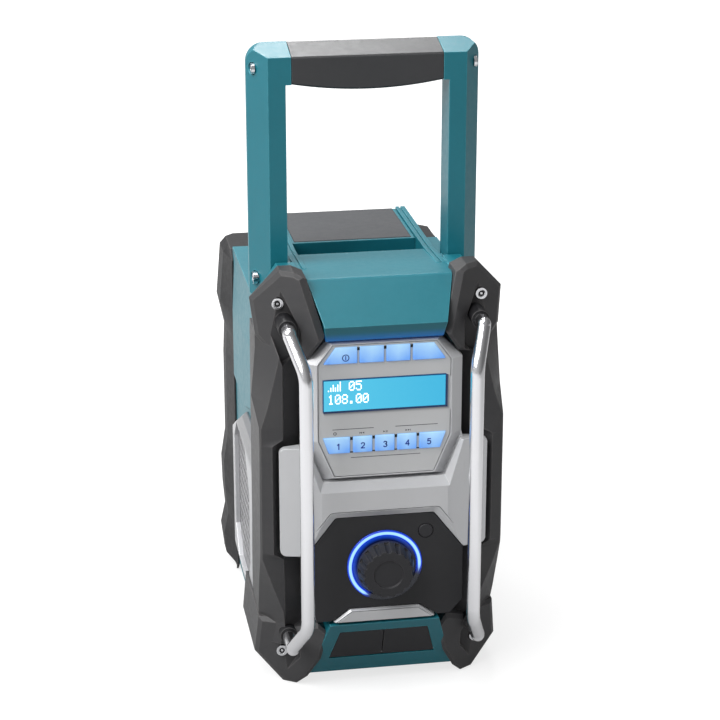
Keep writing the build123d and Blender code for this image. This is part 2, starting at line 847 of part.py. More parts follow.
top_outer = (-top_key_edges[0][0], top_key_edges[-1][1])
preset_outer = (-preset_edges[0][0], preset_edges[-1][1])
key_outlines = {}
for name, edges in zip(("power", "mode", "menu", "info"), top_key_edges):
    key_outlines[f"{name}_button"] = key_outline(
        edges, top_key_low_z, top_key_high_z, top_outer, top_key_lean)
for number, edges in enumerate(preset_edges, start=1):
    key_outlines[f"preset_button_{number}"] = key_outline(
        edges, preset_low_z, preset_high_z, preset_outer, preset_lean)

with BuildPart() as display_frame:
    with BuildSketch(front_plane(console_face_y + frame_thickness)):
        outline(frame_outline)
        offset(amount=-frame_seam, kind=Kind.INTERSECTION)
        for points in key_outlines.values():
            add(offset(Polygon(*points, align=None, mode=Mode.PRIVATE), key_gap,
                       kind=Kind.INTERSECTION, mode=Mode.PRIVATE), mode=Mode.SUBTRACT)
        with Locations((0, (window_low_z + window_top_z) / 2)):
            Rectangle(2 * window_half, window_top_z - window_low_z, mode=Mode.SUBTRACT)
    extrude(amount=frame_thickness)
finish(display_frame.part, "display_frame")

with BuildPart() as display_window:
    slab(0, console_face_y - window_proud + window_thickness / 2, (window_low_z + window_top_z) / 2,
         2 * (window_half - running_gap), window_thickness, window_top_z - window_low_z - 2 * running_gap)
    chamfer(display_window.faces().sort_by(Axis.Y)[0].edges(), window_bevel)
finish(display_window.part, "display_window")

module_front_y = console_face_y - window_proud + window_thickness + running_gap
with BuildPart() as display_module:
    # glass cell, its metal bezel and the carrier that stands on the board
    slab(0, module_front_y + module_thickness / 2, (window_low_z + window_top_z) / 2,
         2 * (window_half - 0.5), module_thickness, window_top_z - window_low_z + module_margin)
    slab(0, (module_front_y + module_thickness + board_y) / 2, (window_low_z + window_top_z) / 2,
         2 * (window_half - module_margin), board_y - module_front_y - module_thickness,
         window_top_z - window_low_z - module_margin)
finish(display_module.part, "display_module")

buttons = {}
for name, points in key_outlines.items():
    centre_x = sum(x for x, z in points) / 4
    centre_z = sum(z for x, z in points) / 4
    with BuildPart() as button:
        with BuildSketch(front_plane(console_face_y + key_depth - key_proud)):
            outline(points)
        extrude(amount=key_depth)
        chamfer(button.faces().sort_by(Axis.Y)[0].edges(), 0.4)
        with BuildSketch(front_plane(console_face_y + frame_thickness + 3 * fit_gap + key_flange_depth)):
            add(offset(Polygon(*points, align=None, mode=Mode.PRIVATE), key_flange,
                       kind=Kind.INTERSECTION, mode=Mode.PRIVATE))
        extrude(amount=key_flange_depth)
        rod((centre_x, console_face_y + key_depth - key_proud - 1, centre_z),
            (centre_x, board_y - switch_room, centre_z), key_post_radius)
    buttons[name] = finish(button.part, name)

with BuildPart() as control_board:
    with BuildSketch(front_plane(board_y + board_thickness)):
        outline(both_halves(board_side))
    extrude(amount=board_thickness)
finish(control_board.part, "control_board")

# -------------------------------------------------------------------- knob group
with BuildPart() as knob_panel:
    with BuildSketch(front_plane(panel_back_y)):
        outline(both_halves([
            (panel_top_half - 3.4, panel_top_z - panel_border - 0.4),
            (console_half - 0.3, panel_shoulder_z - 2 * panel_border + 0.6),
            (console_half - 0.3, panel_foot_z + 10.2), (panel_foot_half - 0.4, panel_foot_z + 0.4),
            (sliver_foot_half + 1.6, panel_foot_z + 0.4), (sliver_top_half + 1.1, sliver_top_z + 1.6),
        ]))
        with Locations((0, knob_z)):
            Circle(bush_radius + fit_gap, mode=Mode.SUBTRACT)
        with Locations((pair_button_x, pair_button_z)):
            Circle(pair_button_radius + key_gap, mode=Mode.SUBTRACT)
    extrude(amount=panel_back_y - panel_y)
    with BuildSketch(front_plane(panel_y)):
        with Locations((0, knob_z)):
            Circle(ring_outer_radius + running_gap)
            Circle(ring_inner_radius - running_gap, mode=Mode.SUBTRACT)
    extrude(amount=-ring_depth, mode=Mode.SUBTRACT)
finish(knob_panel.part, "knob_panel")

with BuildPart() as light_ring:
    with BuildSketch(front_plane(panel_y + ring_depth)):
        with Locations((0, knob_z)):
            Circle(ring_outer_radius)
            Circle(ring_inner_radius, mode=Mode.SUBTRACT)
    extrude(amount=ring_depth + ring_proud)
    fillet(light_ring.faces().sort_by(Axis.Y)[0].edges(), 0.8)
finish(light_ring.part, "light_ring")

knob_back_y = panel_y - knob_skirt_gap
with BuildPart() as tuning_knob:
    # plain skirt, then the fluted grip, which tapers to the face
    with BuildSketch(front_plane(knob_back_y)):
        with Locations((0, knob_z)):
            Circle(knob_radius)
    extrude(amount=knob_skirt)
    for depth, radius in ((knob_back_y - knob_skirt, knob_radius), (knob_front_y, knob_face_radius)):
        with BuildSketch(front_plane(depth)):
            with Locations((0, knob_z)):
                Circle(radius)
                with PolarLocations(radius * (1 + 0.9 / knob_radius), knob_flutes):
                    Circle(knob_flute_radius * radius / knob_radius, mode=Mode.SUBTRACT)
    loft(ruled=True)
    # shallow dish in the face, hollow back, boss and shaft bore
    with BuildSketch(front_plane(knob_front_y)):
        with Locations((0, knob_z)):
            Circle(knob_dish_radius)
    extrude(amount=-1.0, taper=30, mode=Mode.SUBTRACT)
    with BuildSketch(front_plane(knob_back_y)):
        with Locations((0, knob_z)):
            Circle(knob_face_radius - 3)
            Circle(shaft_radius + 3, mode=Mode.SUBTRACT)
    extrude(amount=knob_hollow_depth, mode=Mode.SUBTRACT)
    rod((0, knob_back_y, knob_z), (0, shaft_front_y - fit_gap, knob_z), shaft_radius + running_gap,
        mode=Mode.SUBTRACT)
finish(tuning_knob.part, "tuning_knob")

with BuildPart() as knob_shaft:
    rod((0, shaft_back_y, knob_z), (0, shaft_front_y, knob_z), shaft_radius)
    slab(0, (shaft_front_y + knob_back_y) / 2, knob_z + shaft_radius, 2 * shaft_radius,
         knob_back_y - shaft_front_y, 2 * shaft_flat, mode=Mode.SUBTRACT)
finish(knob_shaft.part, "knob_shaft")

with BuildPart() as encoder_plunger:
    rod((0, plunger_back_y, knob_z), (0, shaft_back_y + fit_gap, knob_z), plunger_radius)
finish(encoder_plunger.part, "encoder_plunger")

with BuildPart() as tuning_encoder:
    slab(0, board_y - encoder_depth / 2, knob_z, 2 * encoder_half, encoder_depth, 2 * encoder_half)
    rod((0, board_y - encoder_depth, knob_z), (0, panel_y + 2, knob_z), bush_radius)
    rod((0, shaft_back_y + knob_travel + fit_gap, knob_z), (0, panel_y, knob_z),
        shaft_radius + running_gap, mode=Mode.SUBTRACT)
    rod((0, plunger_back_y + knob_travel + fit_gap, knob_z), (0, panel_y, knob_z),
        plunger_radius + running_gap, mode=Mode.SUBTRACT)
finish(tuning_encoder.part, "tuning_encoder")

with BuildPart() as pairing_button:
    rod((pair_button_x, panel_back_y + key_flange_depth + 2, pair_button_z),
        (pair_button_x, panel_y - 0.5, pair_button_z), pair_button_radius)
    chamfer(pairing_button.faces().sort_by(Axis.Y)[0].edges(), 0.4)
    rod((pair_button_x, panel_back_y + 2 * key_flange_depth + fit_gap, pair_button_z),
        (pair_button_x, panel_back_y + key_flange_depth + fit_gap, pair_button_z),
        pair_button_radius + 2 * key_flange)
    rod((pair_button_x, board_y - switch_room, pair_button_z),
        (pair_button_x, panel_back_y + key_flange_depth + 1, pair_button_z), key_post_radius)
finish(pairing_button.part, "pairing_button")

# ----------------------------------------------------------------- front bumpers
# Level sections of the upright: floor, inner edge, crease, outer edge, rear edge of the side
upright_sections = [
    (30, (64, -90), (64.5, -92), (65, -93), (82, -79), (81, -44)),
    (47, (64.2, -93), (64.6, -95), (65, -95.4), (80.6, -76.5), (80, -42)),
    (57, (64.4, -95.5), (64.8, -97.5), (66.4, -97.8), (81, -81), (80, -40)),
    (81, (65, -98), (65.4, -101), (74.6, -100.5), (81.4, -91), (80, -41)),
    (98, (65.4, -99), (66, -103), (80.2, -101), (81.4, -98.6), (80, -43)),
    (103, (69.5, -101), (73, -105), (80.4, -101.6), (81.4, -99.5), (80, -44)),
    (179.5, (69.5, -101), (73, -105), (80.2, -102.6), (81, -101), (80, -46)),
    (183.5, (64.8, -98), (65.8, -104.2), (80, -102.6), (81, -101), (80, -46)),
    (191.5, (64.8, -98), (65.8, -104), (80, -102.4), (81, -100.6), (80, -46)),
    (206.5, (64.5, -98), (65.6, -103), (75, -101.4), (83.3, -79.6), (80, -47)),
    (240, (64, -97), (65.2, -101), (67, -100.6), (80.5, -81), (80, -49)),
    (250, (64, -96), (65.2, -98), (66.5, -97.8), (80.3, -79), (80, -50)),
]
upper_face = plane_through((60, -92.5, bumper_apex_z - 1), (83.2, -79, 273), (38.9, -114, 255))
lower_face = plane_through((62, -91, 0), (83.4, -79, 20), (37.2, -110, 46.5))
upper_block_outline = [
    (56, bumper_apex_z), (64.5, bumper_apex_z), (83.2, 273), (80.3, 249), (65.5, 234), (48.6, 240),
    (38.9, 255), (48.6, 289.5),
]
lower_block_outline = [
    (81, 47), (83.6, 19.5), (bumper_foot_x, 0), (57, 0), (50.3, 7), (42, 22.7), (37.5, 44), (44, 50),
    (60, 42.5), (66, 48),
]
upper_well_outline = [(76.9, 269.6), (65.5, 282.4), (53, 256.5), (53, 240), (64.9, 232)]
lower_well_outline = [(76, 19), (66, 34), (60, 38.5), (55.5, 32), (55, 22), (63, 11)]


def on_face(face, x, z, behind):
    """The point of a block's face at x and z, moved back by the given depth."""
    normal = face.z_dir
    origin = face.origin
    y = origin.Y - (normal.X * (x - origin.X) + normal.Z * (z - origin.Z)) / normal.Y
    return (x, y + behind, z)


bumper_blocks = {}
for name, points, face, rear_y in (
    ("upper", upper_block_outline, upper_face, upper_block_rear_y),
    ("lower", lower_block_outline, lower_face, lower_block_rear_y),
):
    with BuildPart() as block:
        with BuildSketch(front_plane(rear_y)):
            outline(points)
        extrude(amount=rear_y + 130)
        split(bisect_by=face, keep=Keep.BOTTOM)
        facet = block.faces().filter_by(lambda f: abs(f.normal_at().dot(face.z_dir)) > 0.999)[0]
        chamfer(facet.edges(), bumper_crease)
        # broader bevel along the last edge of the outline, beside the console
        (xa, za), (xb, zb) = points[-2:]
        bevel = plane_through(
            on_face(face, xa, za, bumper_inner_bevel), on_face(face, xb, zb, bumper_inner_bevel),
            on_face(face, xa + bumper_inner_bevel, za, 0),
        )
        if name == "upper":
            split(bisect_by=bevel, keep=Keep.BOTTOM)
    bumper_blocks[name] = block.part

with BuildPart() as front_bumper_right:
    for z, floor, inner, crease, outer, rear in upright_sections:
        with BuildSketch(level(z)):
            outline([
                (console_half, core_front - 2), floor, inner, crease, outer, rear,
                (core_half - 5, rear[1]), (console_half, core_front + 2),
            ])
    loft(ruled=True)
    add(bumper_blocks["upper"])
    add(bumper_blocks["lower"])
    # pocket that the wing lies in
    add(wing_block(fit_gap), mode=Mode.SUBTRACT)
    # wells round the screws and tube ends
    for points in (upper_well_outline, lower_well_outline):
        with BuildSketch(front_plane(well_floor_y)):
            outline(points)
        extrude(amount=40, mode=Mode.SUBTRACT)
    # collars that hold the tube ends
    for z, collar_front_y in collars:
        rod((tube_top_x, core_front, z), (tube_top_x, collar_front_y, z), boot_radius)
    # space taken by the housing, the arms and the console
    add(front_form.part, mode=Mode.SUBTRACT)
    with BuildSketch(front_plane(core_front)):
        outline(trunk_outline)
        offset(amount=fit_gap, kind=Kind.INTERSECTION)
    extrude(amount=40, mode=Mode.SUBTRACT)
    slab(0, split_y, shoulder_z / 2 + core_base, 2 * core_half, core_rear, shoulder_z,
         mode=Mode.SUBTRACT)
    # screw bores with their cups, and tube bores
    for z in (screw_low_z, screw_high_z):
        rod((screw_x, core_front + 40, z), (screw_x, well_floor_y - 20, z), screw_shank_radius,
            mode=Mode.SUBTRACT)
        rod((screw_x, well_floor_y + screw_head_depth, z), (screw_x, well_floor_y - 20, z),
            screw_cup_radius, mode=Mode.SUBTRACT)
    for z, collar_front_y in collars:
        rod((tube_top_x, tube_seat_y + fit_gap, z), (tube_top_x, tube_end_y, z),
            tube_radius + running_gap, mode=Mode.SUBTRACT)
finish(front_bumper_right.part, "front_bumper_right")
front_bumper_left = finish(mirrored(front_bumper_right.part), "front_bumper_left")

# ------------------------------------------------------------------- guard tubes
tube_reach = ((tube_top_x - tube_half) ** 2 + (tube_end_y - tube_y) ** 2) ** 0.5
tube_plane = Plane(
    origin=(tube_half, tube_y, 0),
    x_dir=(tube_top_x - tube_half, tube_end_y - tube_y, 0),
    z_dir=Vector(tube_top_x - tube_half, tube_end_y - tube_y, 0).cross(Vector(0, 0, 1)),
)
with BuildPart() as guard_tube_right:
    with BuildLine(tube_plane) as tube_path:
        FilletPolyline(
            (tube_reach, tube_top_z - 1), (0, tube_bend_high_z), (0, tube_bend_low_z),
            (tube_reach, tube_low_z + 1), radius=tube_bend_radius,
        )
    with BuildSketch(Plane(origin=tube_path.wires()[0] @ 0, z_dir=tube_path.wires()[0] % 0)):
        Circle(tube_radius)
    sweep(path=tube_path.wires()[0])
    for z in (tube_top_z, tube_low_z):
        rod((tube_top_x, tube_seat_y, z), (tube_top_x, tube_end_y, z), tube_radius)
        with Locations((tube_top_x, tube_end_y, z)):
            Sphere(tube_radius)
finish(guard_tube_right.part, "guard_tube_right")
guard_tube_left = finish(mirrored(guard_tube_right.part), "guard_tube_left")

with BuildPart() as bumper_screws:
    for side, tag in SIDES:
        for z in (screw_low_z, screw_high_z):
            head_front_y = well_floor_y - screw_head_proud
            rod((side * screw_x, head_front_y, z), (side * screw_x, well_floor_y + screw_head_depth, z),
                screw_head_radius)
            rod((side * screw_x, well_floor_y + 1, z), (side * screw_x, screw_end_y - 1, z),
                screw_shank_radius - running_gap)
            rod((side * screw_x, head_front_y, z), (side * screw_x, head_front_y + screw_socket_depth, z),
                screw_socket_radius, mode=Mode.SUBTRACT)
finish(bumper_screws.part, "bumper_screws")

# ------------------------------------------------------- rear bumpers and top bar
# Height, outer half width, inner half width and rear face of the bumper
rear_sections = [
    (0, 72, 60, 118), (8, 82.5, 56, 132), (24, 84, 54, 140.5), (40, 80.5, 54, 140.5),
    (60, 82.3, 54, 138), (82, 83, 58, 136), (104, 79.8, 60, 134), (166, 79.8, 60, 134),
    (188, 78.6, 58, 136), (210, 83.2, 54, 140.5), (248, 80, 54, 140.5), (254, 76, 54, 137),
]
with BuildPart() as rear_bumper_right:
    for z, outer, inner, rear in rear_sections:
        front = rear_bumper_front_y - (10 if 0 < z < 250 else 0)
        with BuildSketch(level(z)):
            outline([
                (inner, rear), (outer - 6, rear), (outer, rear - 6), (outer, rear_bumper_front_y + 14),
                (core_half + 1.5, front), (core_half - 8, front), (inner, core_rear - 12),
            ])
    loft(ruled=True)
    add(rear_form.part, mode=Mode.SUBTRACT)
    with BuildSketch(level(0)):
        outline(core_plan(split_y, core_rear))
    extrude(amount=shoulder_z - rear_flange_depth, mode=Mode.SUBTRACT)
    slab(0, core_rear, core_base / 2, 2 * rear_foot_half, 2 * core_corner + 60, core_base + 4,
         mode=Mode.SUBTRACT)
finish(rear_bumper_right.part, "rear_bumper_right")
rear_bumper_left = finish(mirrored(rear_bumper_right.part), "rear_bumper_left")

with BuildPart() as rear_bumper_bar:
    with BuildSketch(side_plane(-rear_bar_half)):
        outline([
            (rear_bar_front_y, shoulder_z - 8), (rear_bar_front_y, rear_bar_top_z),
            (137, rear_bar_top_z), (140.5, rear_bar_top_z - 4), (140.5, rear_bar_top_z - rear_bar_height + 4),
            (137, rear_bar_top_z - rear_bar_height), (core_rear, rear_bar_top_z - rear_bar_height),
        ])
    extrude(amount=2 * rear_bar_half)
    add(rear_form.part, mode=Mode.SUBTRACT)
finish(rear_bumper_bar.part, "rear_bumper_bar")

# ---------------------------------------------------------------------- speakers
with BuildPart() as speaker_frame_right:
    with BuildSketch(side_plane(core_half)):
        outline(speaker_outer)
    extrude(amount=speaker_proud)
    chamfer(
        speaker_frame_right.faces().sort_by(Axis.X)[-1].edges(), speaker_bevel,
    )
    with BuildSketch(side_plane(core_half)):
        outline(speaker_inner)
    extrude(amount=speaker_proud, mode=Mode.SUBTRACT)
    with BuildSketch(side_plane(core_half)):
        outline(speaker_inner)
        offset(amount=grille_lap + fit_gap, kind=Kind.INTERSECTION)
    extrude(amount=grille_thickness + running_gap, mode=Mode.SUBTRACT)
    # clear of the front bumper and of the raised panel above
    add(front_bumper_right.part, mode=Mode.SUBTRACT)
    add(cheek.part, mode=Mode.SUBTRACT)
finish(speaker_frame_right.part, "speaker_frame_right")
speaker_frame_left = finish(mirrored(speaker_frame_right.part), "speaker_frame_left")

# Perforated sheet: staggered rows of six-sided holes, kept clear of the rim
def inside(points, y, z, margin):
    """Whether a place lies inside a convex outline by at least the margin."""
    for (ya, za), (yb, zb) in zip(points, points[1:] + points[:1]):
        length = ((yb - ya) ** 2 + (zb - za) ** 2) ** 0.5
        if ((z - za) * (yb - ya) - (y - ya) * (zb - za)) / length > -margin:
            return False
    return True


grille_row_rise = grille_pitch * 3 ** 0.5 / 2
grille_places = []
for row in range(-grille_rows, grille_rows + 1):
    for column in range(-grille_rows, grille_rows + 1):
        hole_y = speaker_y + (column + 0.5 * (row % 2)) * grille_pitch
        hole_z = speaker_z + row * grille_row_rise
        if inside(speaker_inner, hole_y, hole_z, grille_hole_radius + 1):
            grille_places.append((hole_y, hole_z))

with BuildPart() as speaker_grille_right:
    with BuildSketch(side_plane(core_half)):
        outline(speaker_inner)
        offset(amount=grille_lap, kind=Kind.INTERSECTION)
        with Locations(*grille_places):
            RegularPolygon(grille_hole_radius, 6, rotation=30, mode=Mode.SUBTRACT)
    extrude(amount=grille_thickness)
    add(front_bumper_right.part, mode=Mode.SUBTRACT)
finish(speaker_grille_right.part, "speaker_grille_right")
speaker_grille_left = finish(mirrored(speaker_grille_right.part), "speaker_grille_left")

# Driver: drawn as a half profile along X, turned about the speaker's own axis
driver_plane = Plane(origin=(0, speaker_y, speaker_z), x_dir=(1, 0, 0), z_dir=(0, 0, 1))
driver_axis = Axis((0, speaker_y, speaker_z), (1, 0, 0))
flange_x = core_half - wall
basket_x = flange_x - flange_thickness
back_x = basket_x - basket_depth
with BuildPart() as speaker_basket_right:
    with BuildSketch(driver_plane):
        outline([
            (flange_x, basket_radius - basket_wall), (flange_x, flange_radius), (basket_x, flange_radius),
            (basket_x, basket_radius), (back_x, basket_back_radius), (back_x, magnet_radius),
            (back_x - magnet_depth, magnet_radius), (back_x - magnet_depth, 0), (back_x + basket_wall, 0),
            (back_x + basket_wall, basket_back_radius - basket_wall),
            (basket_x, basket_radius - basket_wall),
        ])
    revolve(axis=driver_axis)
    # windows in the basket
    with Locations(Plane(origin=(back_x + basket_depth / 2, speaker_y, speaker_z), z_dir=(1, 0, 0)).location):
        with PolarLocations(0, basket_windows):
            with Locations((basket_radius - 6, 0, 0)):
                Box(24, 18, basket_depth - 9, mode=Mode.SUBTRACT)
finish(speaker_basket_right.part, "speaker_basket_right")
speaker_basket_left = finish(mirrored(speaker_basket_right.part), "speaker_basket_left")

with BuildPart() as speaker_cone_right:
    with BuildSketch(driver_plane):
        outline([
            (basket_x, cone_radius), (basket_x - cone_depth, cone_neck_radius),
            (basket_x - cone_depth - 6, cone_neck_radius), (basket_x - cone_depth - 6, 0),
            (basket_x - cone_depth + 4, 0), (basket_x - cone_depth + 2, cone_neck_radius - 3),
            (basket_x - cone_depth + 1.4, cone_neck_radius), (basket_x, cone_radius - 4),
            (basket_x + 1.6, cone_radius - 3.4), (basket_x + 1.6, cone_radius - 0.6),
        ])
    revolve(axis=driver_axis)
finish(speaker_cone_right.part, "speaker_cone_right")
speaker_cone_left = finish(mirrored(speaker_cone_right.part), "speaker_cone_left")

# ------------------------------------------------------------------ battery door
door_front_y = core_rear + 2 * fit_gap
door_rear_y = door_front_y + door_thickness
with BuildPart() as battery_door:
    slab(0, (door_front_y + door_rear_y) / 2, (door_low_z + door_high_z) / 2,
         2 * door_half, door_thickness, door_high_z - door_low_z)
    # raised middle, hollow inside
    for inset, rear_y, mode in ((0, door_rear_y + door_bulge, Mode.ADD),
                                (door_thickness, door_rear_y + door_bulge - door_thickness, Mode.SUBTRACT)):
        with BuildSketch(front_plane(door_rear_y if inset == 0 else door_front_y)):
            outline(both_halves([(bay_half - inset, bulge_high_z - inset), (bay_half - inset, bulge_low_z + inset)]))
        with BuildSketch(front_plane(rear_y)):
            outline(both_halves([
                (bay_half - 6 - inset, bulge_high_z - 8 - inset), (bay_half - 6 - inset, bulge_low_z + 6 + inset),
            ]))
        loft(ruled=True, mode=mode)
    for side, tag in SIDES:
        # notch round each ear, then the barrel between the ears
        slab(side * (ear_inner + ear_width / 2), door_rear_y, door_pin_z,
             ear_width + 2 * ear_gap, 4 * door_thickness, 2 * (door_knuckle_radius + 1), mode=Mode.SUBTRACT)
        # guides for the catch
        with BuildSketch(level(catch_low_z - 1)):
            outline([
                (side * (catch_half + fit_gap), door_rear_y), (side * (catch_half + 3), door_rear_y),
                (side * (catch_half + 3), catch_rear_y + fit_gap + 1.4),
                (side * (catch_half - 2), catch_rear_y + fit_gap + 1.4),
                (side * (catch_half - 2), catch_rear_y + fit_gap),
                (side * (catch_half + fit_gap), catch_rear_y + fit_gap),
            ])
        extrude(amount=catch_height + 2)
    rod((-ear_inner + ear_gap, door_pin_y, door_pin_z), (ear_inner - ear_gap, door_pin_y, door_pin_z),
        door_knuckle_radius)
    slab(0, (door_front_y + door_pin_y) / 2, door_pin_z + 3, 2 * (ear_inner - ear_gap),
         door_pin_y - door_front_y, door_knuckle_radius, mode=Mode.ADD)
    rod((-door_half, door_pin_y, door_pin_z), (door_half, door_pin_y, door_pin_z),
        door_pin_radius + running_gap, mode=Mode.SUBTRACT)
finish(battery_door.part, "battery_door")

# keeper: a channel on the rear wall above the door, open downwards for the tongue of the catch
keeper_roof_z = keeper_low_z + catch_travel + 1
with BuildPart() as battery_door_keeper:
    with BuildSketch(side_plane(-keeper_half)):
        outline([
            (core_rear, keeper_low_z), (core_rear + keeper_wall, keeper_low_z),
            (core_rear + keeper_wall, keeper_roof_z), (catch_rear_y + fit_gap, keeper_roof_z),
            (catch_rear_y + fit_gap, keeper_low_z), (keeper_rear_y, keeper_low_z),
            (keeper_rear_y, keeper_low_z + keeper_height), (core_rear, keeper_low_z + keeper_height + 4),
        ])
    extrude(amount=2 * keeper_half)
finish(battery_door_keeper.part, "battery_door_keeper")

with BuildPart() as battery_door_latch:
    slab(0, (catch_front_y + catch_rear_y) / 2, catch_low_z + catch_height / 2,
         2 * catch_half, catch_rear_y - catch_front_y, catch_height)
    slab(0, (catch_front_y + catch_rear_y) / 2, (catch_low_z + keeper_low_z - 1) / 2,
         2 * (catch_half - catch_lip), catch_rear_y - catch_front_y, keeper_low_z - 1 - catch_low_z)
    # finger ridges
    for step in range(3):
        slab(0, catch_rear_y + 0.6, catch_low_z + 3 + 3 * step, 2 * (catch_half - 5), 1.8, 1.4)
finish(battery_door_latch.part, "battery_door_latch")

with BuildPart() as battery_terminal_block:
    slab(0, bay_front_y + 4, terminal_z, 2 * rail_contact_half, 8, terminal_height)
    for side, tag in SIDES:
        # side rails with an inward lip, that the pack slides on
        slab(side * (rail_contact_half - 1.5), bay_front_y + 11, terminal_z, 3, 6.1, terminal_height)
        slab(side * (rail_contact_half - 3), bay_front_y + 13, terminal_z, 6, 2, terminal_height)
    for place in (-14, -5, 5, 14):
        slab(place, bay_front_y + 10, terminal_z - terminal_height / 4, 1.2, 4.1, terminal_height / 3)
finish(battery_terminal_block.part, "battery_terminal_block")

with BuildPart() as backup_battery_cover:
    slab(0, bay_front_y + 1.5, cell_cover_z, cell_cover_width, 3, cell_cover_height)
    chamfer(backup_battery_cover.faces().sort_by(Axis.Y)[-1].edges(), 1)
    slab(0, bay_front_y + 3.6, cell_cover_z + cell_cover_height / 2 - 4, 12, 1.4, 2)
finish(backup_battery_cover.part, "backup_battery_cover")

# ------------------------------------------------------------------------ handle
with BuildPart() as handle_arm_right:
    with BuildSketch(front_plane(arm_rear_y)) as arm_outline:
        outline([
            (arm_inner, pivot_z - arm_round), (arm_outer, pivot_z - arm_round), (arm_outer, grip_rear_z),
            (grip_half + fit_gap, grip_rear_z), (grip_half + fit_gap, grip_low_z), (arm_inner, grip_low_z),
        ])
        fillet(max(arm_outline.vertices(), key=lambda v: v.X + v.Y), radius=arm_corner)
    extrude(amount=arm_rear_y - arm_front_y)
    # front outer corner cut away at a slant, top falls to the front
    with BuildSketch(level(pivot_z - arm_round)):
        outline([
            (arm_chamfer_x, arm_front_y), (arm_outer, arm_side_y), (arm_outer + 1, arm_side_y),
            (arm_outer + 1, arm_front_y - 1), (arm_chamfer_x, arm_front_y - 1),
        ])
    extrude(amount=grip_rear_z - pivot_z + arm_round, mode=Mode.SUBTRACT)
    with BuildSketch(side_plane(grip_half)):
        outline([
            (arm_front_y - 1, grip_front_z), (arm_front_y, grip_front_z), (arm_rear_y, grip_rear_z),
            (arm_rear_y, grip_rear_z + 1), (arm_front_y - 1, grip_rear_z + 1),
        ])
    extrude(amount=arm_outer - grip_half + 1, mode=Mode.SUBTRACT)
    # round foot about the pivot
    with BuildSketch(side_plane(arm_inner - 1)):
        with Locations((pivot_y, pivot_z - arm_round / 2)):
            Rectangle(4 * arm_round, arm_round)
        with Locations((pivot_y, pivot_z)):
            Circle(arm_round, mode=Mode.SUBTRACT)
    extrude(amount=arm_outer - arm_inner + 2, mode=Mode.SUBTRACT)
    # hollow at the back of the upright
    groove_low_z = pivot_z + 2 * arm_round
    groove_high_z = grip_low_z - arm_round
    slab((arm_inner + arm_outer) / 2, arm_rear_y, (groove_low_z + groove_high_z) / 2,
         arm_width - 2 * grip_setback, 2 * arm_groove, groove_high_z - groove_low_z, mode=Mode.SUBTRACT)
    # pivot bore with the seat for the bolt head
    rod((arm_inner - 1, pivot_y, pivot_z), (arm_outer + 1, pivot_y, pivot_z),
        pivot_shank_radius + running_gap, mode=Mode.SUBTRACT)
    rod((bolt_seat_x, pivot_y, pivot_z), (arm_outer + 1, pivot_y, pivot_z),
        pivot_head_radius + fit_gap, mode=Mode.SUBTRACT)
    # socket for the crossbar, and the bore of its end screw with the seat for the head
    slab((grip_half + crossbar_half) / 2, crossbar_y, crossbar_z, crossbar_half - grip_half + 2 * running_gap + 1,
         crossbar_depth + 2 * running_gap, crossbar_height + 2 * running_gap, mode=Mode.SUBTRACT)
    rod((crossbar_half, crossbar_y, crossbar_z), (arm_outer + 1, crossbar_y, crossbar_z),
        screw_shank_radius, mode=Mode.SUBTRACT)
    rod((bolt_seat_x, crossbar_y, crossbar_z), (arm_outer + 1, crossbar_y, crossbar_z),
        screw_head_radius + fit_gap, mode=Mode.SUBTRACT)
finish(handle_arm_right.part, "handle_arm_right")
handle_arm_left = finish(mirrored(handle_arm_right.part), "handle_arm_left")

with BuildPart() as handle_crossbar:
    slab(0, crossbar_y, crossbar_z, 2 * crossbar_half, crossbar_depth, crossbar_height)
    # one bore for the aerial in the middle and the screws at the ends
    rod((-crossbar_half, crossbar_y, crossbar_z), (crossbar_half, crossbar_y, crossbar_z),
        antenna_radius + running_gap, mode=Mode.SUBTRACT)
finish(handle_crossbar.part, "handle_crossbar")

with BuildPart() as handle_grip:
    with BuildSketch(front_plane(arm_rear_y)):
        with BuildLine():
            Polyline((grip_half, grip_low_z), (grip_half, grip_rear_z),
                     (-grip_half, grip_rear_z), (-grip_half, grip_low_z))
            ThreePointArc((-grip_half, grip_low_z), (0, grip_low_z - grip_bow), (grip_half, grip_low_z))
        make_face()
    extrude(amount=arm_rear_y - arm_front_y)
    with BuildSketch(side_plane(-grip_half)):
        outline([
            (arm_front_y - 1, grip_front_z), (arm_front_y, grip_front_z), (arm_rear_y, grip_rear_z),
            (arm_rear_y, grip_rear_z + 1), (arm_front_y - 1, grip_rear_z + 1),
        ])
    extrude(amount=2 * grip_half, mode=Mode.SUBTRACT)
    chamfer(handle_grip.edges().filter_by(Axis.X), grip_edge)
    fillet(handle_grip.edges().filter_by(GeomType.CIRCLE), radius=grip_palm_round)
    slab(0, crossbar_y, crossbar_z, 2 * grip_half + 2, crossbar_depth + 2 * running_gap,
         crossbar_height + 2 * running_gap, mode=Mode.SUBTRACT)
finish(handle_grip.part, "handle_grip")

with BuildPart() as antenna_rod:
    rod((-antenna_half, crossbar_y, crossbar_z), (antenna_half, crossbar_y, crossbar_z), antenna_radius)
finish(antenna_rod.part, "antenna_rod")

with BuildPart() as handle_pivots:
    for side, tag in SIDES:
        head_x = bolt_seat_x + fit_gap
        rod((side * (deck_core_half + 1), pivot_y, pivot_z), (side * head_x, pivot_y, pivot_z),
            pivot_shank_radius)
        rod((side * head_x, pivot_y, pivot_z), (side * (head_x + pivot_head_depth), pivot_y, pivot_z),
            pivot_head_radius)
        # driving socket
        rod((side * (head_x + pivot_head_depth / 2), pivot_y, pivot_z),
            (side * (head_x + pivot_head_depth), pivot_y, pivot_z), screw_socket_radius, mode=Mode.SUBTRACT)
finish(handle_pivots.part, "handle_pivots")

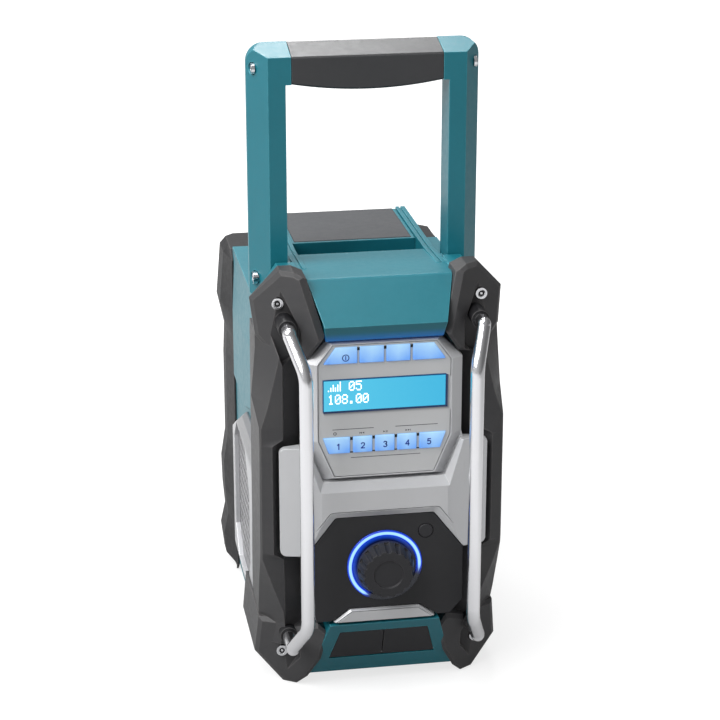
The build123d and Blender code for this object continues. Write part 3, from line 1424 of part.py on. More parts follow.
with BuildPart() as handle_screws:
    for side, tag in SIDES:
        head_x = bolt_seat_x + screw_head_proud + screw_head_depth
        rod((side * bolt_seat_x, crossbar_y, crossbar_z), (side * head_x, crossbar_y, crossbar_z),
            screw_head_radius)
        rod((side * (bolt_seat_x + 1), crossbar_y, crossbar_z),
            (side * handle_screw_tip_x, crossbar_y, crossbar_z), screw_shank_radius - running_gap)
        rod((side * (head_x - screw_socket_depth), crossbar_y, crossbar_z),
            (side * head_x, crossbar_y, crossbar_z), screw_socket_radius, mode=Mode.SUBTRACT)
finish(handle_screws.part, "handle_screws")

# ------------------------------------------------------------------------- ports
with BuildPart() as port_flap_right:
    with BuildSketch(sill_plane.offset(-flap_thickness)):
        outline([
            (flap_gap / 2, flap_high_v), (flap_top_half, flap_high_v), (flap_pin_half, flap_pin_v),
            (flap_gap / 2, flap_pin_v),
        ])
    extrude(amount=flap_thickness)
    # barrel round the pin
    rod(sill_point(flap_gap / 2, flap_pin_v, flap_pin_w),
        sill_point(flap_pin_half - 2 * fit_gap, flap_pin_v, flap_pin_w), flap_thickness / 2)
    rod(sill_point(0, flap_pin_v, flap_pin_w), sill_point(flap_foot_half, flap_pin_v, flap_pin_w),
        flap_pin_radius + running_gap, mode=Mode.SUBTRACT)
finish(port_flap_right.part, "port_flap_right")
port_flap_left = finish(mirrored(port_flap_right.part), "port_flap_left")

# steel pins of the port flaps and of the battery door
with BuildPart() as hinge_pins:
    rod(sill_point(-flap_pin_end, flap_pin_v, flap_pin_w), sill_point(flap_pin_end, flap_pin_v, flap_pin_w),
        flap_pin_radius)
    rod((-ear_inner - ear_width, door_pin_y, door_pin_z), (ear_inner + ear_width, door_pin_y, door_pin_z),
        door_pin_radius)
finish(hinge_pins.part, "hinge_pins")

for name, side in (("dc_socket", -1), ("aux_socket", 1)):
    with BuildPart() as socket:
        with Locations(sill_plane.offset(-flap_thickness - fit_gap).location):
            with Locations((side * port_x, sill_v(port_z), 0)):
                Cylinder(port_radius - running_gap, port_depth - 2, align=(Align.CENTER, Align.CENTER, Align.MAX))
                Cylinder(port_radius - 1.2, port_depth - 4, mode=Mode.SUBTRACT,
                         align=(Align.CENTER, Align.CENTER, Align.MAX))
                if name == "dc_socket":
                    Cylinder(1.0, port_depth - 3, align=(Align.CENTER, Align.CENTER, Align.MAX))
    finish(socket.part, name)

# ---------------------------------------------------------------- board and feet
with BuildPart() as main_board:
    slab(0, (main_board_front_y + main_board_rear_y) / 2, main_board_z + board_thickness / 2,
         2 * main_board_half, main_board_rear_y - main_board_front_y, board_thickness)
    # transformer, heat sink and two reservoir capacitors
    slab(-24, -30, main_board_z + 11, 30, 26, 20)
    slab(22, 20, main_board_z + 9, 36, 8, 16)
    for x in (8, 28):
        rod((x, -44, main_board_z + 1), (x, -44, main_board_z + 24), 7)
finish(main_board.part, "main_board")

with BuildPart() as feet:
    with Locations(*[(x, y, core_base) for x in (-foot_x, foot_x) for y in (-foot_y, foot_y)]):
        Cylinder(foot_radius, core_base, align=(Align.CENTER, Align.CENTER, Align.MAX))
    chamfer(feet.faces().filter_by_position(Axis.Z, -1, 0.1).edges(), 1.0)
finish(feet.part, "feet")
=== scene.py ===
"""Looks of the jobsite radio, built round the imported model. Metres, same frame as the model."""
import math
import bmesh
import bpy
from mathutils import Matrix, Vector


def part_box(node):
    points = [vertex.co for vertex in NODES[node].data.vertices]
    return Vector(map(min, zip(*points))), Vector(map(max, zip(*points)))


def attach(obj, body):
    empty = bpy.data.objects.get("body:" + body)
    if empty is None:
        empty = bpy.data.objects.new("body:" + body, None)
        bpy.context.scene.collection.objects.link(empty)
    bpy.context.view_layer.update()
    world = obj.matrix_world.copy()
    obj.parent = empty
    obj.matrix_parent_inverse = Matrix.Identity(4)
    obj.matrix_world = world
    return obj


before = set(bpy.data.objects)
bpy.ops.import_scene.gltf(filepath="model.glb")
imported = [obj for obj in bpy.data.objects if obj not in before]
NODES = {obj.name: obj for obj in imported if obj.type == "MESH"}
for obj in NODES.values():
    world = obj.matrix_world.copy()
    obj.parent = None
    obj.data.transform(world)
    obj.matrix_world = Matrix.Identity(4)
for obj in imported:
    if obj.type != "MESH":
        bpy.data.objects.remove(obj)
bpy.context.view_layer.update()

MM = 0.001

# Places and sizes in millimetres, as in the model
WINDOW_HALF = 41                                # half width of the display's light
WINDOW_RIGHT, WINDOW_LOW = 40.5, 203            # edges of the display window
RING_MIDDLE = 23.3                              # radius of the lens round the knob, at its middle
SPILL_RADII = (14.5, 21.2)                      # of the lit panel inside the lens
SUNK = 0.02                                     # how far print starts inside what carries it
INK = 0.05                                      # thickness of print
BUMPER_WELL_Y = -90.8
COLLAR_X = 62.7
COLLARS = ((260.3, -108.0), (39.5, -98.0))      # height and front end of each collar
COLLAR_RADIUS, TUBE_RADIUS = 5.9, 4.56


# ------------------------------------------------------------ material building
class Graph:
    """A node material under construction."""

    def __init__(self, name):
        self.material = bpy.data.materials.new(name)
        self.material.use_nodes = True
        self.tree = self.material.node_tree
        self.tree.nodes.clear()
        self.out = self.node("ShaderNodeOutputMaterial")
        self.place = self.node("ShaderNodeTexCoord").outputs["Object"]

    def node(self, kind, inputs=None, **props):
        made = self.tree.nodes.new(kind)
        for key, value in props.items():
            setattr(made, key, value)
        for key, value in (inputs or {}).items():
            self.put(made.inputs[key], value)
        return made

    def put(self, socket, value):
        if isinstance(value, bpy.types.NodeSocket):
            self.tree.links.new(value, socket)
        else:
            socket.default_value = value

    def math(self, operation, a, b=0.0, clamp=False):
        made = self.node("ShaderNodeMath", operation=operation, use_clamp=clamp)
        self.put(made.inputs[0], a)
        self.put(made.inputs[1], b)
        return made.outputs[0]

    def span(self, value, low, high, to_low=0.0, to_high=1.0, smooth=False):
        made = self.node("ShaderNodeMapRange", {
            "Value": value, "From Min": low, "From Max": high, "To Min": to_low, "To Max": to_high})
        made.interpolation_type = "SMOOTHSTEP" if smooth else "LINEAR"
        return made.outputs[0]

    def mix(self, share, a, b):
        made = self.node("ShaderNodeMix", data_type="RGBA")
        self.put(made.inputs[0], share)
        self.put(made.inputs[6], a)
        self.put(made.inputs[7], b)
        return made.outputs[2]

    def noise(self, scale, detail=2.0, rough=0.5, stretch=None):
        place = self.place
        if stretch:
            place = self.node("ShaderNodeMapping", {"Vector": place, "Scale": stretch}).outputs[0]
        return self.node("ShaderNodeTexNoise", {
            "Vector": place, "Scale": scale, "Detail": detail, "Roughness": rough}).outputs["Fac"]

    def axis(self, letter):
        return self.node("ShaderNodeSeparateXYZ", {"Vector": self.place}).outputs[letter]

    def length(self, a, b):
        squares = self.math("ADD", self.math("MULTIPLY", a, a), self.math("MULTIPLY", b, b))
        return self.math("SQRT", squares)

    def finish(self, shader):
        self.tree.links.new(shader.outputs[0], self.out.inputs["Surface"])
        self.shader = shader
        return self


def rgb(r, g, b):
    """A colour written as a screen colour from 0 to 255, in the renderer's linear values."""
    def linear(c):
        c /= 255
        return c / 12.92 if c <= 0.04045 else ((c + 0.055) / 1.055) ** 2.4
    return (linear(r), linear(g), linear(b), 1.0)


def surface(name, colour, rough, tint=None, metallic=0.0, grain=1600, bump=0.03, round_edge=0.5,
            edge=None, edge_share=0.0, mottle=0.35, stretch=None, specular=0.5, emission=None):
    """Moulded or painted surface: a base colour that drifts towards a tint, a fine grain in the relief
    and the gloss, softened edges, and edges lightened to another colour, partly as wear and partly as a
    painted highlight."""
    g = Graph(name)
    fine = g.noise(grain, 3.0, 0.6, stretch)
    broad = g.noise(28, 4.0, 0.55)
    middle = g.noise(240, 3.0, 0.5)
    drift = g.math("MULTIPLY", g.span(broad, 0.35, 0.65), mottle)
    drift = g.math("ADD", drift, g.math("MULTIPLY", g.span(middle, 0.35, 0.65), mottle * 0.5))
    drift = g.math("ADD", drift, g.math("MULTIPLY", g.span(fine, 0.3, 0.7), mottle * 0.4), clamp=True)
    base = g.mix(drift, colour, tint or colour)
    soft = g.node("ShaderNodeBevel", {"Radius": round_edge * MM}, samples=6)
    # painted highlight and wear: edges lightened in patches towards the edge colour
    if edge:
        true = g.node("ShaderNodeNewGeometry").outputs["Normal"]
        wide = g.node("ShaderNodeBevel", {"Radius": 1.8 * round_edge * MM}, samples=6)
        dot = g.node("ShaderNodeVectorMath", operation="DOT_PRODUCT")
        g.put(dot.inputs[0], true)
        g.put(dot.inputs[1], wide.outputs[0])
        wear_and_highlight = g.span(dot.outputs["Value"], 0.995, 0.9)
        wear_and_highlight = g.math("MULTIPLY", wear_and_highlight, g.span(middle, 0.3, 0.6, 0.45, 1.0), clamp=True)
        base = g.mix(g.math("MULTIPLY", wear_and_highlight, edge_share), base, edge)
    relief = g.node("ShaderNodeBump", {
        "Strength": 1.0, "Distance": bump * MM, "Height": fine, "Normal": soft.outputs[0]})
    gloss = g.span(g.math("ADD", g.math("MULTIPLY", fine, 0.5), g.math("MULTIPLY", middle, 0.5)),
                   0.35, 0.65, rough - 0.05, rough + 0.07)
    shader = g.node("ShaderNodeBsdfPrincipled", {
        "Base Color": base, "Roughness": gloss, "Metallic": metallic, "Normal": relief.outputs[0],
        "Specular IOR Level": specular})
    if emission:
        g.put(shader.inputs["Emission Color"], emission)
    return g.finish(shader)


def repaint(g, share, colour):
    """Lays a colour over the surface's own, by a share that varies over the surface."""
    socket = g.shader.inputs["Base Color"]
    g.put(socket, g.mix(share, socket.links[0].from_socket, colour))
    return g


teal = surface("teal_shell", rgb(20, 107, 121), 0.38, rgb(27, 116, 130), grain=2600, bump=0.02,
               edge=rgb(96, 182, 196), edge_share=0.45, round_edge=0.6).material
nose = surface("teal_front", rgb(20, 107, 121), 0.38, rgb(27, 116, 130), grain=2600, bump=0.02,
               edge=rgb(96, 182, 196), edge_share=0.45, round_edge=0.6, emission=(0.0, 0.06, 0.5, 1))
# the keys below throw a little of their light on the foot of the nose
foot = nose.math("MULTIPLY", nose.span(nose.axis("Z"), 258 * MM, 250.5 * MM, 0.0, 0.42, smooth=True),
                 nose.span(nose.axis("Z"), 242 * MM, 248 * MM))
nose.put(nose.shader.inputs["Emission Strength"], nose.math(
    "MULTIPLY", foot, nose.span(nose.axis("Y"), -104 * MM, -108 * MM)))
rubber = surface("moulded_rubber", rgb(60, 60, 62), 0.46, rgb(70, 69, 69), grain=1900, bump=0.04,
                 edge=rgb(118, 115, 114), edge_share=0.4, round_edge=0.8, specular=0.3).material
# painted shade: a darker copy of the bumper rubber, for the rear bumpers that lie in shade
rear_rubber_shaded = surface("rear_rubber_shaded", rgb(37, 37, 39), 0.5, rgb(45, 44, 45), grain=1900, bump=0.04,
                      edge=rgb(112, 110, 109), edge_share=0.45, round_edge=0.8, specular=0.2).material
grip_rubber = surface("grip_rubber", rgb(52, 53, 55), 0.4, rgb(60, 60, 62), grain=2200, bump=0.02,
                      edge=rgb(120, 118, 118), edge_share=0.4, specular=0.45).material
mat_rubber = surface("mat_rubber", rgb(62, 64, 67), 0.6, rgb(73, 74, 77), grain=1300, bump=0.06,
                     specular=0.35).material
silver = surface("silver_paint", rgb(196, 197, 199), 0.36, rgb(204, 204, 206), metallic=0.3, grain=3200,
                 bump=0.012, edge=rgb(236, 237, 240), edge_share=0.5, mottle=0.25, round_edge=0.6).material
face_paint = surface("face_paint", rgb(199, 200, 201), 0.4, rgb(205, 206, 207), metallic=0.2, grain=3200,
                     bump=0.012, mottle=0.25).material
# painted highlight: the speaker frames' edges are lightened strongly towards white
speaker_silver = surface("speaker_silver", rgb(190, 191, 194), 0.34, rgb(198, 198, 201), metallic=0.3,
                         grain=3200, bump=0.012, edge=rgb(244, 244, 246), edge_share=0.8, mottle=0.25,
                         round_edge=0.8)
# painted shade: the top band of each speaker frame is darkened, where it lies in shade
low, high = (corner.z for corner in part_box("speaker_frame_left"))
speaker_silver = repaint(speaker_silver, speaker_silver.span(
    speaker_silver.axis("Z"), low + 0.8 * (high - low), low + 0.87 * (high - low), 0.0, 0.7, smooth=True),
    rgb(98, 99, 103)).material
grille_sheet = surface("grille_sheet", rgb(140, 140, 143), 0.4, rgb(150, 150, 152), metallic=0.5,
                       grain=2400, bump=0.02, edge=rgb(215, 215, 218), edge_share=0.5).material
chrome = surface("polished_tube", rgb(228, 228, 231), 0.17, rgb(234, 234, 236), metallic=1.0, grain=900,
                 bump=0.002, round_edge=0.1, mottle=0.2, stretch=(1, 1, 0.05)).material
black = surface("black_plastic", rgb(40, 40, 43), 0.42, rgb(48, 48, 51), grain=2200, bump=0.025,
                edge=rgb(92, 90, 92), edge_share=0.35, specular=0.3).material
panel_black = surface("panel_black", rgb(43, 43, 45), 0.46, rgb(49, 49, 51), grain=3000, bump=0.02,
                      specular=0.28, mottle=0.3).material
steel = surface("plated_steel", rgb(226, 227, 230), 0.16, rgb(212, 212, 216), metallic=1.0, grain=1500,
                bump=0.01, round_edge=0.2).material
board_green = surface("circuit_board", rgb(16, 84, 48), 0.4, rgb(24, 104, 60), grain=900, bump=0.03,
                      mottle=0.6).material
speaker_metal = surface("speaker_metal", rgb(48, 48, 50), 0.4, rgb(60, 60, 62), metallic=0.4, grain=1800,
                        bump=0.02).material
cone_paper = surface("cone_paper", rgb(52, 51, 52), 0.85, rgb(66, 65, 64), grain=900, bump=0.12,
                     mottle=0.7, stretch=(0.3, 1, 1)).material
# dark fill: the real black of the plug sockets, and painted shade in the screw sockets
socket_black_and_shade = surface("socket_black_and_shade", rgb(26, 26, 28), 0.35, rgb(34, 34, 36), grain=1500, bump=0.02,
                       specular=0.3).material


def key_material(name, centre, half_width, low, high):
    """Translucent key lit from behind: brightest at the top middle, bluer towards the ends and foot."""
    g = Graph(name)
    across = g.math("ABSOLUTE", g.math("DIVIDE", g.math("SUBTRACT", g.axis("X"), centre), half_width))
    up = g.span(g.axis("Z"), low, high)
    light = g.math("SUBTRACT", g.math("MULTIPLY", up, 0.75), g.math("MULTIPLY", across, 0.35))
    light = g.math("ADD", light, g.math("MULTIPLY", g.noise(160, 2.0), 0.25), clamp=True)
    glow = g.mix(light, rgb(112, 168, 244), rgb(196, 236, 255))
    soft = g.node("ShaderNodeBevel", {"Radius": 0.3 * MM}, samples=4)
    grain = g.node("ShaderNodeBump", {
        "Distance": 0.01 * MM, "Height": g.noise(2600, 2.0), "Normal": soft.outputs[0]})
    shader = g.node("ShaderNodeBsdfPrincipled", {
        "Base Color": g.mix(light, rgb(64, 100, 150), rgb(96, 130, 160)), "Normal": grain.outputs[0],
        "Roughness": g.span(g.noise(900, 2.0), 0.3, 0.7, 0.28, 0.4), "Emission Color": glow,
        "Emission Strength": 0.76, "Specular IOR Level": 0.4, "Coat Weight": 0.1, "Coat Roughness": 0.15})
    return g.finish(shader).material


def lcd_material():
    """Display glass: an even cyan light, a little stronger at its lit end, under a glossy face."""
    g = Graph("display_glass")
    fall = g.span(g.axis("X"), -WINDOW_HALF * MM, WINDOW_HALF * MM)
    cells = g.noise(420, 2.0)
    glow = g.mix(fall, rgb(84, 206, 240), rgb(56, 186, 230))
    glow = g.mix(g.math("MULTIPLY", cells, 0.1), glow, rgb(110, 216, 245))
    # painted shade: the window's sides, turned away from the front, glow a darker blue than its face
    true = g.node("ShaderNodeNewGeometry").outputs["True Normal"]
    rim = g.span(g.node("ShaderNodeSeparateXYZ", {"Vector": true}).outputs["Y"], -0.9, -0.99)
    glow = g.mix(rim, rgb(6, 60, 112), glow)
    shader = g.node("ShaderNodeBsdfPrincipled", {
        "Base Color": g.mix(fall, rgb(16, 60, 78), rgb(12, 50, 68)),
        "Roughness": g.span(cells, 0.3, 0.7, 0.12, 0.2), "Specular IOR Level": 0.35,
        "Emission Color": glow, "Emission Strength": 0.88})
    return g.finish(shader).material


def ring_material(centre_z):
    """Lens round the knob: a pale lit crescent inside deep blue, open at the foot."""
    g = Graph("ring_lens")
    x = g.axis("X")
    z = g.math("SUBTRACT", g.axis("Z"), centre_z)
    radius = g.length(x, z)
    turn = g.math("ARCTAN2", x, z)
    # turn is 0 at the top, positive to the right
    lit = g.math("MINIMUM", g.span(turn, -2.75, -2.45, smooth=True), g.span(turn, 1.95, 1.55, smooth=True))
    width = g.math("MULTIPLY", lit, 1.0 * MM)
    off = g.math("ABSOLUTE", g.math("SUBTRACT", radius, RING_MIDDLE * MM))
    core = g.span(g.math("SUBTRACT", width, off), -0.25 * MM, 0.35 * MM, smooth=True)
    halo = g.math("MULTIPLY", lit, g.span(off, 2.6 * MM, 0.8 * MM, 0.55, 1.0, smooth=True))
    glow = g.mix(core, rgb(0, 46, 182), rgb(150, 200, 255))
    glow = g.mix(halo, rgb(1, 3, 12), glow)
    faint = g.noise(700, 2.0)
    shader = g.node("ShaderNodeBsdfPrincipled", {
        "Base Color": g.mix(lit, rgb(24, 26, 34), rgb(20, 50, 120)),
        "Roughness": g.span(faint, 0.3, 0.7, 0.2, 0.32),
        "Emission Color": glow, "Emission Strength": 1.4, "Coat Weight": 0.3, "Coat Roughness": 0.1})
    return g.finish(shader).material


def spill_material(centre_z):
    """Deep blue light inside the ring, gone towards the lower right."""
    g = Graph("ring_spill")
    x = g.axis("X")
    z = g.math("SUBTRACT", g.axis("Z"), centre_z)
    radius = g.length(x, z)
    # side is 1 towards the upper left and -1 towards the lower right
    side = g.math("SUBTRACT", g.math("MULTIPLY", z, 0.8), g.math("MULTIPLY", x, 0.6))
    side = g.math("DIVIDE", side, radius)
    cloud = g.span(g.noise(500, 2.0), 0.3, 0.7, 0.8, 1.0)
    lit = g.math("MULTIPLY", g.span(side, -0.55, 0.7, smooth=True), cloud)
    lit = g.math("MULTIPLY", lit, g.span(radius, 18.4 * MM, 21.4 * MM, 0.05, 0.9))
    shader = g.node("ShaderNodeBsdfPrincipled", {
        "Base Color": g.mix(lit, rgb(22, 22, 26), rgb(8, 24, 90)), "Roughness": g.span(lit, 0, 1, 0.4, 0.3),
        "Emission Color": g.mix(lit, (0, 0, 0, 1), (0.0, 0.05, 0.5, 1)), "Emission Strength": 1.5})
    return g.finish(shader).material


def print_material(name, colour, glow=0.0):
    """Printed ink, or a lit display segment."""
    g = Graph(name)
    patch = g.noise(1200, 2.0)
    tone = g.mix(g.math("MULTIPLY", patch, 0.12), colour, rgb(150, 160, 175))
    shader = g.node("ShaderNodeBsdfPrincipled", {
        "Base Color": tone, "Roughness": g.span(patch, 0.3, 0.7, 0.4, 0.55)})
    if glow:
        g.put(shader.inputs["Emission Color"], tone)
        shader.inputs["Emission Strength"].default_value = glow
    return g.finish(shader).material


# ------------------------------------------------- materials of the model's nodes
def paint(material, *names):
    for name in names:
        for place in NODES[name].material_slots:
            place.material = material


def both(*stems):
    return [f"{stem}_{side}" for stem in stems for side in ("left", "right")]


paint(nose.material, "front_housing")
paint(teal, "rear_housing", "top_cover", "battery_door", *both("handle_arm"))
paint(grip_rubber, "handle_grip")
paint(rubber, "feet", *both("front_bumper"))
paint(rear_rubber_shaded, "rear_bumper_bar", *both("rear_bumper"))
paint(mat_rubber, "top_mat")
paint(silver, "front_bezel")
paint(speaker_silver, *both("speaker_frame"))
paint(face_paint, "display_frame")
paint(grille_sheet, *both("speaker_grille"))
paint(chrome, *both("guard_tube"))
paint(panel_black, "knob_panel")
paint(black, "tuning_knob", "pairing_button", "handle_crossbar", "display_module", "battery_door_latch",
      "battery_terminal_block", "backup_battery_cover", "battery_door_keeper", *both("port_flap"))
paint(steel, "bumper_screws", "handle_screws", "handle_pivots", "antenna_rod", "knob_shaft",
      "encoder_plunger", "tuning_encoder", "hinge_pins")
paint(board_green, "control_board", "main_board")
paint(speaker_metal, *both("speaker_basket"))
paint(cone_paper, *both("speaker_cone"))
paint(socket_black_and_shade, "dc_socket", "aux_socket")
paint(lcd_material(), "display_window")
KNOB_Z = (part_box("light_ring")[0].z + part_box("light_ring")[1].z) / 2
paint(ring_material(KNOB_Z), "light_ring")
KEYS = ["power", "mode", "menu", "info"] + [f"preset_{n}" for n in range(1, 6)]
for key in KEYS:
    node = f"preset_button_{key[-1]}" if key.startswith("preset") else f"{key}_button"
    low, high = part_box(node)
    paint(key_material(f"{key}_light", (low.x + high.x) / 2, (high.x - low.x) / 2, low.z, high.z), node)


# --------------------------------------------------------------- detail pieces
def piece(name, mesh, material, body):
    made = bpy.data.objects.new(name, mesh)
    bpy.context.scene.collection.objects.link(made)
    mesh.materials.append(material)
    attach(made, body)
    return made


def to_mesh(bm, name):
    mesh = bpy.data.meshes.new(name)
    bm.to_mesh(mesh)
    bm.free()
    return mesh


def front_mesh(name, shapes, y, depth):
    """Flat shapes, given as outlines in X and Z in millimetres, raised from y towards the front."""
    bm = bmesh.new()
    for points in shapes:
        face = bm.faces.new([bm.verts.new((x * MM, y * MM, z * MM)) for x, z in points])
        face.normal_update()
        if face.normal.y > 0:
            face.normal_flip()
        top = bmesh.ops.extrude_face_region(bm, geom=[face])
        bmesh.ops.translate(bm, vec=(0, -depth * MM, 0), verts=[
            v for v in top["geom"] if isinstance(v, bmesh.types.BMVert)])
    bmesh.ops.recalc_face_normals(bm, faces=bm.faces)
    return to_mesh(bm, name)


def flat_piece(name, shapes, y, depth, material, body):
    """Flat shapes on a surface that faces the front at y."""
    return piece(name, front_mesh(name, shapes, y + SUNK, depth), material, body)


def block(x0, z0, x1, z1):
    return [(x0, z0), (x1, z0), (x1, z1), (x0, z1)]


def stroke(points, width):
    """Outlines that draw a line of the given width through the points, one block per run."""
    shapes = []
    for (xa, za), (xb, zb) in zip(points, points[1:]):
        length = math.hypot(xb - xa, zb - za)
        ux, uz = (xb - xa) / length, (zb - za) / length
        w = width / 2
        shapes.append([(xa - ux * w * 0.6 - uz * w, za - uz * w * 0.6 + ux * w),
                       (xb + ux * w * 0.6 - uz * w, zb + uz * w * 0.6 + ux * w),
                       (xb + ux * w * 0.6 + uz * w, zb + uz * w * 0.6 - ux * w),
                       (xa - ux * w * 0.6 + uz * w, za - uz * w * 0.6 - ux * w)])
    return shapes


def arc(x, z, radius, start, end, steps):
    return [(x + radius * math.sin(math.radians(start + (end - start) * i / steps)),
             z + radius * math.cos(math.radians(start + (end - start) * i / steps)))
            for i in range(steps + 1)]


def annulus(name, x, y, z, inner, outer, depth, steps=64):
    """Flat ring facing the front."""
    bm = bmesh.new()
    rows = []
    for i in range(steps):
        turn = 2 * math.pi * i / steps
        sine, cosine = math.sin(turn), math.cos(turn)
        rows.append([bm.verts.new(((x + r * sine) * MM, (y - d) * MM, (z + r * cosine) * MM))
                     for r, d in ((inner, 0), (outer, 0), (outer, depth), (inner, depth))])
    for i in range(steps):
        here, after = rows[i], rows[(i + 1) % steps]
        for k in range(4):
            bm.faces.new((here[k], here[(k + 1) % 4], after[(k + 1) % 4], after[k]))
    bmesh.ops.recalc_face_normals(bm, faces=bm.faces)
    return to_mesh(bm, name)


def lathe(bm, centre, axis, profile, steps=32):
    """Surface of revolution about X or Y through the centre. Profile: (place along the axis, radius)."""
    rows = []
    for i in range(steps):
        turn = 2 * math.pi * i / steps
        row = []
        for along, radius in profile:
            across, up = radius * math.sin(turn), radius * math.cos(turn)
            place = (along, centre[1] + across, centre[2] + up) if axis == "X" else (
                centre[0] + across, along, centre[2] + up)
            row.append(bm.verts.new([c * MM for c in place]))
        rows.append(row)
    for i in range(steps):
        here, after = rows[i], rows[(i + 1) % steps]
        for k in range(len(profile) - 1):
            bm.faces.new((here[k], here[k + 1], after[k + 1], after[k]))
    bmesh.ops.remove_doubles(bm, verts=bm.verts, dist=1e-7)
    bmesh.ops.recalc_face_normals(bm, faces=bm.faces)


def lathed(name, parts, material, body):
    """One piece of several surfaces of revolution, each a centre, an axis and a profile."""
    bm = bmesh.new()
    for centre, axis, profile in parts:
        lathe(bm, centre, axis, profile)
    mesh = to_mesh(bm, name)
    for face in mesh.polygons:
        face.use_smooth = True
    made = piece(name, mesh, material, body)
    made.modifiers.new("edges", "EDGE_SPLIT").split_angle = math.radians(40)


def islands(node):
    """Boxes, in millimetres, of the separate solids of a node."""
    bm = bmesh.new()
    bm.from_mesh(NODES[node].data)
    bmesh.ops.remove_doubles(bm, verts=bm.verts, dist=1e-7)
    left, found = set(bm.verts), []
    while left:
        group, todo = [], [left.pop()]
        while todo:
            vert = todo.pop()
            group.append(vert.co / MM)
            for edge in vert.link_edges:
                other = edge.other_vert(vert)
                if other in left:
                    left.discard(other)
                    todo.append(other)
        found.append(tuple([pick(c[k] for c in group) for k in range(3)] for pick in (min, max)))
    bm.free()
    return sorted(found)


def screw_sockets(name, node, axis, depth, body):
    """Steel lip, a dark fill on the floor as painted shade, and pin of the socket in each screw head of a
    node.
    """
    k = "XYZ".index(axis)
    heads = []
    for low, high in islands(node):
        centre = [(a + b) / 2 for a, b in zip(low, high)]
        mouth, inward = (high[k], -1) if centre[k] > 0 else (low[k], 1)
        centre[k] = 0
        heads.append((centre, mouth, inward))
    # each profile gives depths below the mouth of the socket, and radii
    for part, material, slot, profile in (
            ("lips", steel, "steel", ((0.12, 2.46), (0.3, 1.95))),
            # wells: painted shade, a dark fill on the floor of each socket
            ("shaded_wells", socket_black_and_shade, "black_plastic", ((0.28, 2.0), (depth, 1.8), (depth, 0.0))),
            ("pins", steel, "steel", ((depth, 0.95), (0.35, 0.8), (0.35, 0.0)))):
        lathed(f"{name}_{part}", [
            (centre, axis, [(mouth + inward * down, radius) for down, radius in profile])
            for centre, mouth, inward in heads], material, body)


# Display: signal bars and a preset number above a plain frequency
# (the two halves of the bars are "<" and ">")
GLYPHS = {
    "0": "01110 10001 10011 10101 11001 10001 01110",
    "1": "00100 01100 00100 00100 00100 00100 01110",
    "5": "11111 10000 11110 00001 00001 10001 01110",
    "8": "01110 10001 10001 01110 10001 10001 01110",
    ".": "00000 00000 00000 00000 00000 01100 01100",
    "<": "00000 00000 00001 00001 00101 00101 10101",
    ">": "00001 00001 00101 00101 10101 10101 10101",
    " ": "00000 00000 00000 00000 00000 00000 00000",
}
TEXT_LEFT = -37.2
LETTER_STEP = 4.55
DOT_STEP = (0.78, 0.95)
DOT = (0.74, 0.9)
TEXT = (("<> 05", 223.7), ("108.00", 214.9))    # each line and the height of its top
WINDOW_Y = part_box("display_window")[0].y / MM
dots = []
for text, top in TEXT:
    for place, letter in enumerate(text):
        for row, bits in enumerate(GLYPHS[letter].split()):
            for column, bit in enumerate(bits):
                if bit == "1":
                    x = TEXT_LEFT + place * LETTER_STEP + column * DOT_STEP[0]
                    z = top - row * DOT_STEP[1]
                    dots.append(block(x, z - DOT[1], x + DOT[0], z))
lit_white = print_material("display_segments", rgb(250, 254, 255), 1.0)
flat_piece("display_characters", dots, WINDOW_Y, 0.06, lit_white, "chassis")

# Key symbols, in dark blue print
DIGITS = {
    "1": [[(-0.8, 1.0), (0.15, 1.9), (0.15, -1.9)]],
    "2": [[(-1.1, 1.1), (-0.7, 1.7), (0, 1.9), (0.8, 1.6), (1.05, 0.9), (0.7, 0.1), (-1.1, -1.75),
           (1.1, -1.75)]],
    "3": [[(-1.0, 1.3), (-0.4, 1.85), (0.4, 1.85), (0.95, 1.35), (0.8, 0.5), (0.1, 0.1), (0.9, -0.3),
           (1.1, -1.1), (0.5, -1.8), (-0.4, -1.85), (-1.05, -1.3)]],
    "4": [[(0.6, -1.9), (0.6, 1.8), (-1.2, -0.8), (1.2, -0.8)]],
    "5": [[(0.95, 1.8), (-0.75, 1.8), (-0.95, 0.2), (0.1, 0.55), (0.95, 0.1), (1.05, -0.9), (0.5, -1.7),
           (-0.4, -1.85), (-1.05, -1.3)]],
}
DIGIT_X = (-30.4, -14.4, 0.3, 15.0, 29.4)
DIGIT_Z = 178.9
DIGIT_STROKE = 0.78
POWER_X, POWER_Z = -25.6, 239.7
ink_blue = print_material("key_ink", rgb(20, 60, 180))
ink_dark = print_material("panel_ink", rgb(44, 46, 50))
KEY_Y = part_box("preset_button_3")[0].y / MM
for number, x in zip("12345", DIGIT_X):
    shapes = [s for line in DIGITS[number]
              for s in stroke([(x + dx, DIGIT_Z + dz) for dx, dz in line], DIGIT_STROKE)]
    flat_piece(f"preset_digit_{number}", shapes, KEY_Y, INK, ink_blue, f"preset_key_{number}")
shapes = stroke(arc(POWER_X, POWER_Z, 2.1, 0, 360, 28), 0.58)
shapes += stroke([(POWER_X, POWER_Z + 1.2), (POWER_X, POWER_Z - 1.2)], 0.66)
flat_piece("power_symbol", shapes, KEY_Y, INK, ink_blue, "power_key")

FACE_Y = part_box("display_frame")[0].y / MM
